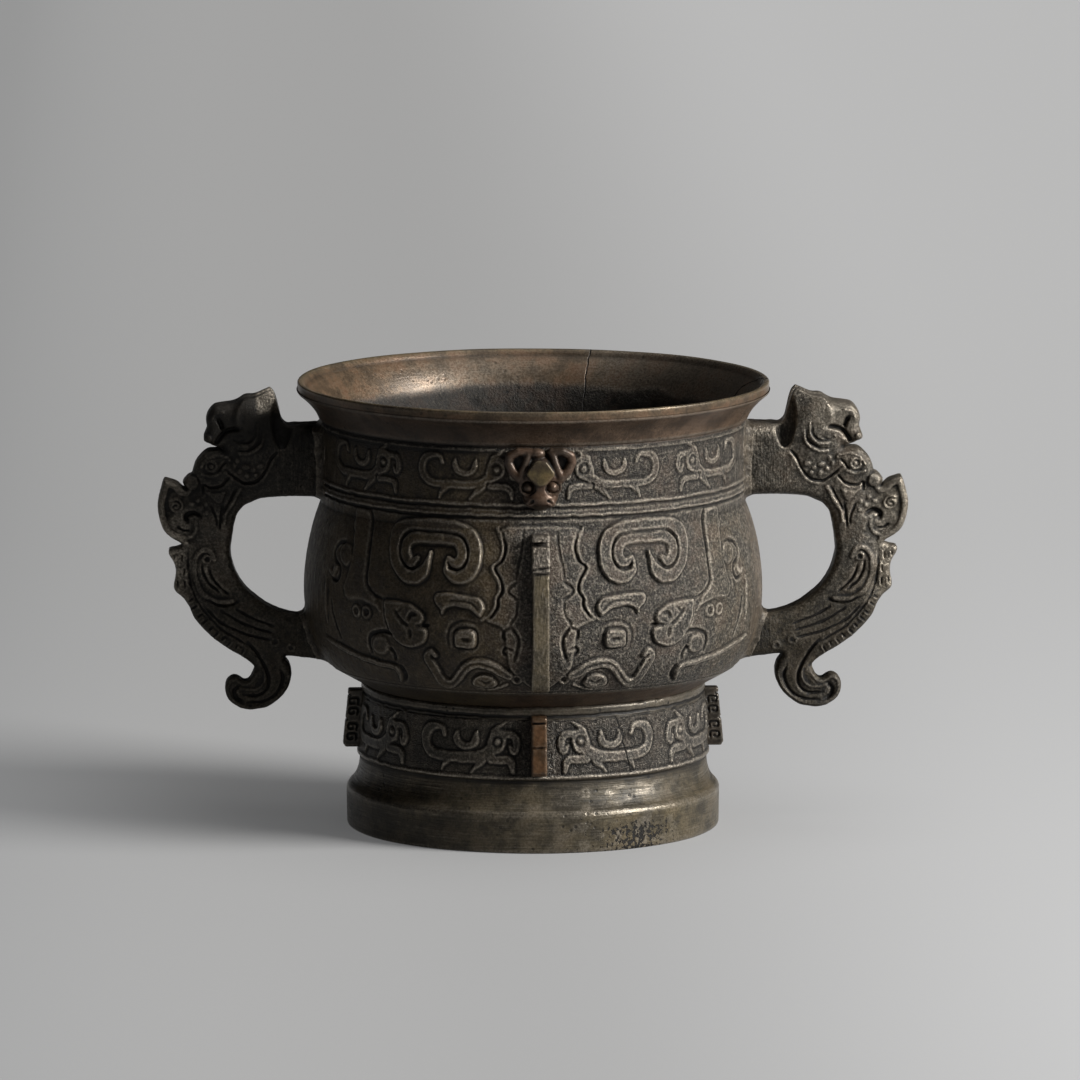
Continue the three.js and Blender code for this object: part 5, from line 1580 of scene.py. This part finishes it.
def handle_field(x, y, z):
    flat_x, flat_z = x[:, 0, :], z[:, 0, :]
    side = signed_distance(flat_x, flat_z, handle_outline())
    half = handle_thickness(flat_x, flat_z)
    sheet = unsteady_sheet(flat_x, flat_z, 0.15, 2.2)
    for draw_part in HANDLE_PARTS:
        draw_part(sheet)
    wing = up_from(flat_x, 111.5, 2) * up_from(flat_z, 93.5, 2) * down_to(flat_z, 117, 1)
    hook = down_to(flat_z, 53, 3)
    rim = 0.6 * wing * soft_step((side + 2.5) / 0.5) + 0.5 * hook * soft_step((side + 1.5) / 0.5)
    relief = np.maximum(sheet_height(sheet), rim - sheet["cut"])
    body = rounded_slab(side[:, None, :], y, (half + relief)[:, None, :], 0.45 * half[:, None, :])
    head = soft_join(body, ear_field(x, y, z), 4.2)
    cup = egg(x, np.abs(y), z, (83.6, 7.8, 137.5), (3.6, 3.4, 10.5))
    return soft_carve(head, cup, 0.8)


def make_handles():
    points, quads = sculpt(HANDLE_LOW, HANDLE_HIGH, HANDLE_PITCH, handle_field)
    x, z = points[:, 0], points[:, 2]
    skull = up_from(x, 90, 4) * up_from(z, 131, 4)
    points = roughen(points, quads, [(2.4, 0.12), (1.1, 0.06)], 1 - 0.7 * skull)
    attributes = wear_and_dirt(points, quads, 0.048)
    # Both handles are made darker towards the bottom.
    add_to(attributes, "dirt_and_shade", 0.5 * down_to(z, 92, 24))
    wing = up_from(x, 112, 6)
    attributes["bare"] = np.maximum(0.3, np.maximum(0.4 * wing, 0.5 * skull))
    attributes["olive"] = 0.45 * wing + 0.5 * down_to(z, 90, 20)
    upper_arm = down_to(x, 88, 4) * (z > 108)
    attributes["filed"] = 0.7 * upper_arm + 0.6 * down_to(x, 84, 6) * (z < 80)
    # Rubbed brass on the wing and the skull; on the top of the upper arm, wear and painted light.
    facing_up = soft_step((point_normals(points, quads)[:, 2] - 0.2) / 0.4)
    handled_and_lit_top = upper_arm * facing_up + np.maximum(0.65 * wing, 0.35 * skull)
    add_to(attributes, "worn_and_lit", handled_and_lit_top)
    right = mesh_piece("handle_right_dressed", points, quads, HANDLE_BRONZE, attributes)
    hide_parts("handle_right")
    # Painted shade darkens the upper part of the left handle, and a painted highlight lights its ear tip.
    lit_ear_tip = up_from(z, 138, 3) * down_to(x, 93, 2)
    left_dirt_and_shade = attributes["dirt_and_shade"] + 0.5 * up_from(z, 95, 20) + 0.3 * up_from(z, 126, 6)
    attributes["dirt_and_shade"] = np.clip(left_dirt_and_shade, 0, 1) * (1 - lit_ear_tip)
    add_to(attributes, "worn_and_lit", 0.7 * lit_ear_tip)
    points, quads = mirrored(points, quads)
    left = mesh_piece("handle_left_dressed", points, quads, HANDLE_BRONZE, attributes)
    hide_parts("handle_left")


make_handles()

# %% [markdown]
# ## The small masks on the neck
# A mask sits in the middle of the front and of the back, over the flange: a smooth brassy brow, two ball
# eyes, a red snout with curled nostrils, and two ears bent into loops. It is sculpted on the round of the
# neck, so its depth is measured out from the wall.

# %% Sculpt the masks
MASK_PITCH = 0.3


def tube(x, y, z, points, radius):
    path = np.array(points, float)
    nearest = np.full(x.shape, 1e9)
    for start, end in zip(path, path[1:]):
        leg = end - start
        along = (x - start[0]) * leg[0] + (y - start[1]) * leg[1] + (z - start[2]) * leg[2]
        share = np.clip(along / (leg @ leg), 0, 1)
        gap = (x - start[0] - share * leg[0]) ** 2
        gap += (y - start[1] - share * leg[1]) ** 2 + (z - start[2] - share * leg[2]) ** 2
        nearest = np.minimum(nearest, gap)
    return np.sqrt(nearest) - radius


def mask_field(x, y, z):
    out = np.hypot(x, y) - NECK_RADIUS
    across = NECK_RADIUS * np.arctan2(x, -y)
    aside = np.abs(across)
    face = egg(aside, out, z, (0, 0, 125), (6.6, 5.0, 9.4))
    face = soft_join(face, egg(aside, out, z, (0, 1.0, 119.9), (5.4, 4.8, 3.2)), 1.0)
    lozenge = [(0, 132.6), (1.7, 132.4), (3.3, 130.2), (4.3, 128.3), (3.3, 126.5), (1.4, 124.5), (0, 124)]
    lozenge += [(-a, b) for a, b in lozenge[-2:0:-1]]
    flat_brow = signed_distance(across, z, smooth_path(lozenge + lozenge[:1], 0.6))
    face = soft_join(face, rounded_slab(flat_brow, out, 5.6, 0.6), 0.4)
    face = soft_carve(face, egg(aside, out, z, (3.9, 3.4, 123.6), (2.9, 2.2, 2.9)), 0.4)
    face = soft_join(face, egg(aside, out, z, (3.8, 2.0, 123.6), (1.8, 2.4, 1.8)), 0.2)
    turn = np.linspace(0, 2 * math.pi, 15)
    rim = [(3.9 + 2.5 * math.cos(a), 2.9, 123.6 + 2.5 * math.sin(a)) for a in turn]
    face = soft_join(face, tube(aside, out, z, rim, 0.5), 0.3)
    face = soft_join(face, egg(aside, out, z, (3.2, 3.2, 118.5), (1.6, 1.7, 1.5)), 0.4)
    face = soft_carve(face, tube(aside, out, z, [(3.8, 4.9, 118.2), (2.2, 4.8, 119.4)], 0.45), 0.3)
    loop = [(3.6, 1.6, 135.0), (7.0, 2.0, 135.2), (9.6, 1.9, 133.8)]
    loop += [(10.2, 1.7, 131.6), (8.8, 2.0, 128.8), (6.6, 2.4, 126.4)]
    strap = [(4.0, 2.2, 134.0), (5.0, 2.6, 130.6), (6.4, 2.6, 127.2)]
    ear = soft_join(tube(aside, out, z, loop, 1.5), tube(aside, out, z, strap, 1.2), 0.4)
    ear = soft_join(ear, egg(aside, out, z, (7.2, -0.4, 131), (4.2, 1.6, 5.0)), 0.3)
    face = soft_join(face, ear, 0.7)
    crest = egg(across, out, z, (-1.2, 1.4, 134.6), (2.8, 2.0, 1.8))
    face = soft_join(face, crest, 0.5)
    return np.maximum(face, -0.4 - out)


def make_masks():
    points, quads = sculpt((-13, -77.5, 114.5), (13, -67.5, 138.5), MASK_PITCH, mask_field)
    attributes = wear_and_dirt(points, quads, 0.06)
    x, y, z = points.T
    out = np.hypot(x, y) - NECK_RADIUS
    attributes["olive"] = up_from(out, 5.0, 0.3) * up_from(z, 124, 1)
    cup = soft_step((np.abs(x) - 4.4) / 0.8) * up_from(z, 126, 1) * down_to(out, 2.9, 0.8)
    add_to(attributes, "dirt_and_shade", 0.6 * cup)
    attributes["bare"] = np.ones(len(points))
    for name, placed in (("mask_front", points), ("mask_back", turn_half(points))):
        piece = mesh_piece(name + "_dressed", placed, quads, MASK_BRONZE, attributes)
        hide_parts(name)


make_masks()

# %% [markdown]
# ## The flanges
# The flange on the belly is the ridge of the beast's nose: a straight bar with a taller block at its top,
# cut by one slot. It follows the wall and has soft, rubbed edges, which a bevelled box wouldn't have.

# %% Sculpt the flanges of the belly
FLANGE_PITCH = 0.33


def bowl_radius(z):
    profile = bowl_profile()
    return np.interp(z, profile[:, 1], profile[:, 0])


def belly_flange_field(x, y, z):
    out = -y - bowl_radius(z)
    proud = 3.9 + 1.2 * up_from(z, 95.6, 0.7) - 0.5 * down_to(z, 58, 3)
    half = 2.75 + 0.25 * up_from(z, 95.6, 0.7) + 0.25 * down_to(z, 66, 8)
    bar = rounded_slab(np.abs(x) - half, out, proud, 0.55)
    bar = np.maximum(bar, -1.2 - out)
    ends = np.maximum(z - 108, 55.5 - z)
    bar = -soft_join(-bar, -ends, 0.6)
    slot = np.maximum(np.abs(z - 105.1) - 0.75, 2.0 - out)
    bar = soft_carve(bar, slot, 0.3)
    lower_slot = np.maximum(np.abs(z - 97.4 - 0.12 * x) - 0.35, 4.4 - out)
    bar = soft_carve(bar, lower_slot, 0.3)
    for aside in (-1, 1):
        crease = np.hypot(x - aside * half, out - 2.0) - 0.35
        bar = soft_carve(bar, crease, 0.25)
    return bar + 0.06 * np.sin(z * 1.7 + np.sin(x * 2)) * np.sin(x * 2.1 + z * 0.4)


def make_belly_flanges():
    points, quads = sculpt((-4.4, -83, 54.6), (4.4, -66, 109), FLANGE_PITCH, belly_flange_field)
    attributes = wear_and_dirt(points, quads, 0.06)
    out = -points[:, 1] - bowl_radius(points[:, 2])
    add_to(attributes, "worn_and_lit", 0.35 * up_from(out, 2.6, 1.0))
    add_to(attributes, "dirt_and_shade", 0.8 * down_to(out, 1.0, 1.2))
    attributes["bare"] = down_to(points[:, 2], 96, 1.5)
    attributes["olive"] = 0.5 * attributes["bare"]
    attributes["filed"] = 0.6 * up_from(out, 3, 0.6)
    for name, placed in (("belly_flange_front", points), ("belly_flange_back", turn_half(points))):
        piece = mesh_piece(name + "_dressed", placed, quads, FLANGE_BRONZE, attributes)
        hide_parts(name)


make_belly_flanges()

# %% [markdown]
# The four flanges on the foot are short bars with notches, and small square meanders are cut in their
# sides. The ones at the front and the back show red copper; the ones under the handles get a near-black
# tone, which is painted shade.

# %% Sculpt the flanges of the foot
def foot_radius(z):
    return 57.3 + (43.5 - z) * 0.061


def foot_flange_field(x, y, z):
    out = -y - foot_radius(z)
    proud = 4.6 + 0.6 * down_to(z, 44, 16)
    proud = proud - 0.7 * soft_step(1 - np.abs(z - 35.2) / 0.6) - 0.5 * down_to(z, 26.9, 0.5)
    bar = rounded_slab(np.abs(x) - 2.6, out, proud, 0.7)
    bar = np.maximum(bar, -1.2 - out)
    ends = np.maximum(z - 45.3, 25.8 - z)
    bar = -soft_join(-bar, -ends, 0.6)
    cap_groove = np.maximum(np.abs(z - 43.3) - 0.35, 3.4 - out)
    bar = soft_carve(bar, cap_groove, 0.3)
    return bar + 0.06 * np.sin(z * 1.9) * np.sin(x * 2.3 + z)


def draw_flange_lines(points):
    """Small square meanders cut in the two sides of a foot flange."""
    sheet = new_sheet(-points[:, 1] - foot_radius(points[:, 2]), points[:, 2])
    meander = [(1.0, -1), (1.0, 1.1), (3.6, 1.1), (3.6, -0.4), (2.2, -0.4), (2.2, 0.2)]
    for level in (41.2, 37.8, 32.6, 29.2):
        groove(sheet, [(out, level + rise) for out, rise in meander], 0.7, 0.5)
    return sheet["cut"]


def make_foot_flanges():
    points, quads = sculpt((-4.2, -66, 24.6), (4.2, -54.5, 46.4), FLANGE_PITCH, foot_flange_field)
    cut = draw_flange_lines(points) * (np.abs(points[:, 0]) > 1.9)
    points[:, 0] -= np.sign(points[:, 0]) * cut
    attributes = wear_and_dirt(points, quads, 0.06)
    add_to(attributes, "dirt_and_shade", 1.4 * cut)
    attributes["bare"] = np.ones(len(points))
    quarter_turn = np.stack([-points[:, 1], points[:, 0], points[:, 2]], axis=1)
    places = {
        "foot_flange_front": points,
        "foot_flange_back": turn_half(points),
        "foot_flange_right": quarter_turn,
        "foot_flange_left": turn_half(quarter_turn),
    }
    for name, placed in places.items():
        metal = COPPER_BRONZE if name in ("foot_flange_front", "foot_flange_back") else SIDE_SHADED_BRONZE
        piece = mesh_piece(name + "_dressed", placed, quads, metal, attributes)
        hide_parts(name)


make_foot_flanges()

# %% [markdown]
# ## The solder at the handle roots
# Each arm meets the wall in a lumpy collar of pale solder, wiped on by hand. It is a bead that runs round
# the arm in the corner it makes with the wall.

# %% Sculpt the solder collars
SOLDER_PITCH = 0.4
ARM_CORNER = 3


def solder_field(middle, half_depth, half_height):
    def field(x, y, z):
        out = np.hypot(x, y) - bowl_radius(z)
        deep = np.abs(y) - half_depth + ARM_CORNER
        tall = np.abs(z - middle) - half_height + ARM_CORNER
        corner = np.hypot(np.maximum(deep, 0), np.maximum(tall, 0))
        flat = np.maximum(deep, tall)
        from_arm = np.where(flat > 0, corner, flat) - ARM_CORNER
        reach = 2.8 + 0.9 * swells(np.stack([x, y, z], axis=-1), 4.0)
        fillet = reach - np.hypot(np.maximum(reach - from_arm, 0), np.maximum(reach - out, 0))
        fillet = np.maximum(fillet, np.maximum(from_arm, out) - reach)
        return np.maximum(fillet, np.maximum(-0.7 - out, -0.7 - from_arm))

    return field


def make_solder():
    collars = {
        "upper": ((67.5, -13.5, 106.5), (75, 13.5, 138.5), solder_field(122.7, 8.9, 11.7)),
        "lower": ((65, -11, 51.5), (79.5, 11, 75.5), solder_field(63.4, 6.6, 7.6)),
    }
    for height, (low, high, field) in collars.items():
        points, quads = sculpt(low, high, SOLDER_PITCH, field)
        points = roughen(points, quads, [(1.6, 0.2), (0.9, 0.1)])
        attributes = wear_and_dirt(points, quads, 0.08)
        attributes["bare"] = np.full(len(points), 0.6)
        name = "solder_" + height
        right = mesh_piece(name + "_right_dressed", points, quads, SOLDER_METAL, attributes)
        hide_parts("solder_" + height + "_right")
        points, quads = mirrored(points, quads)
        left = mesh_piece(name + "_left_dressed", points, quads, SOLDER_METAL, attributes)
        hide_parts("solder_" + height + "_left")


make_solder()
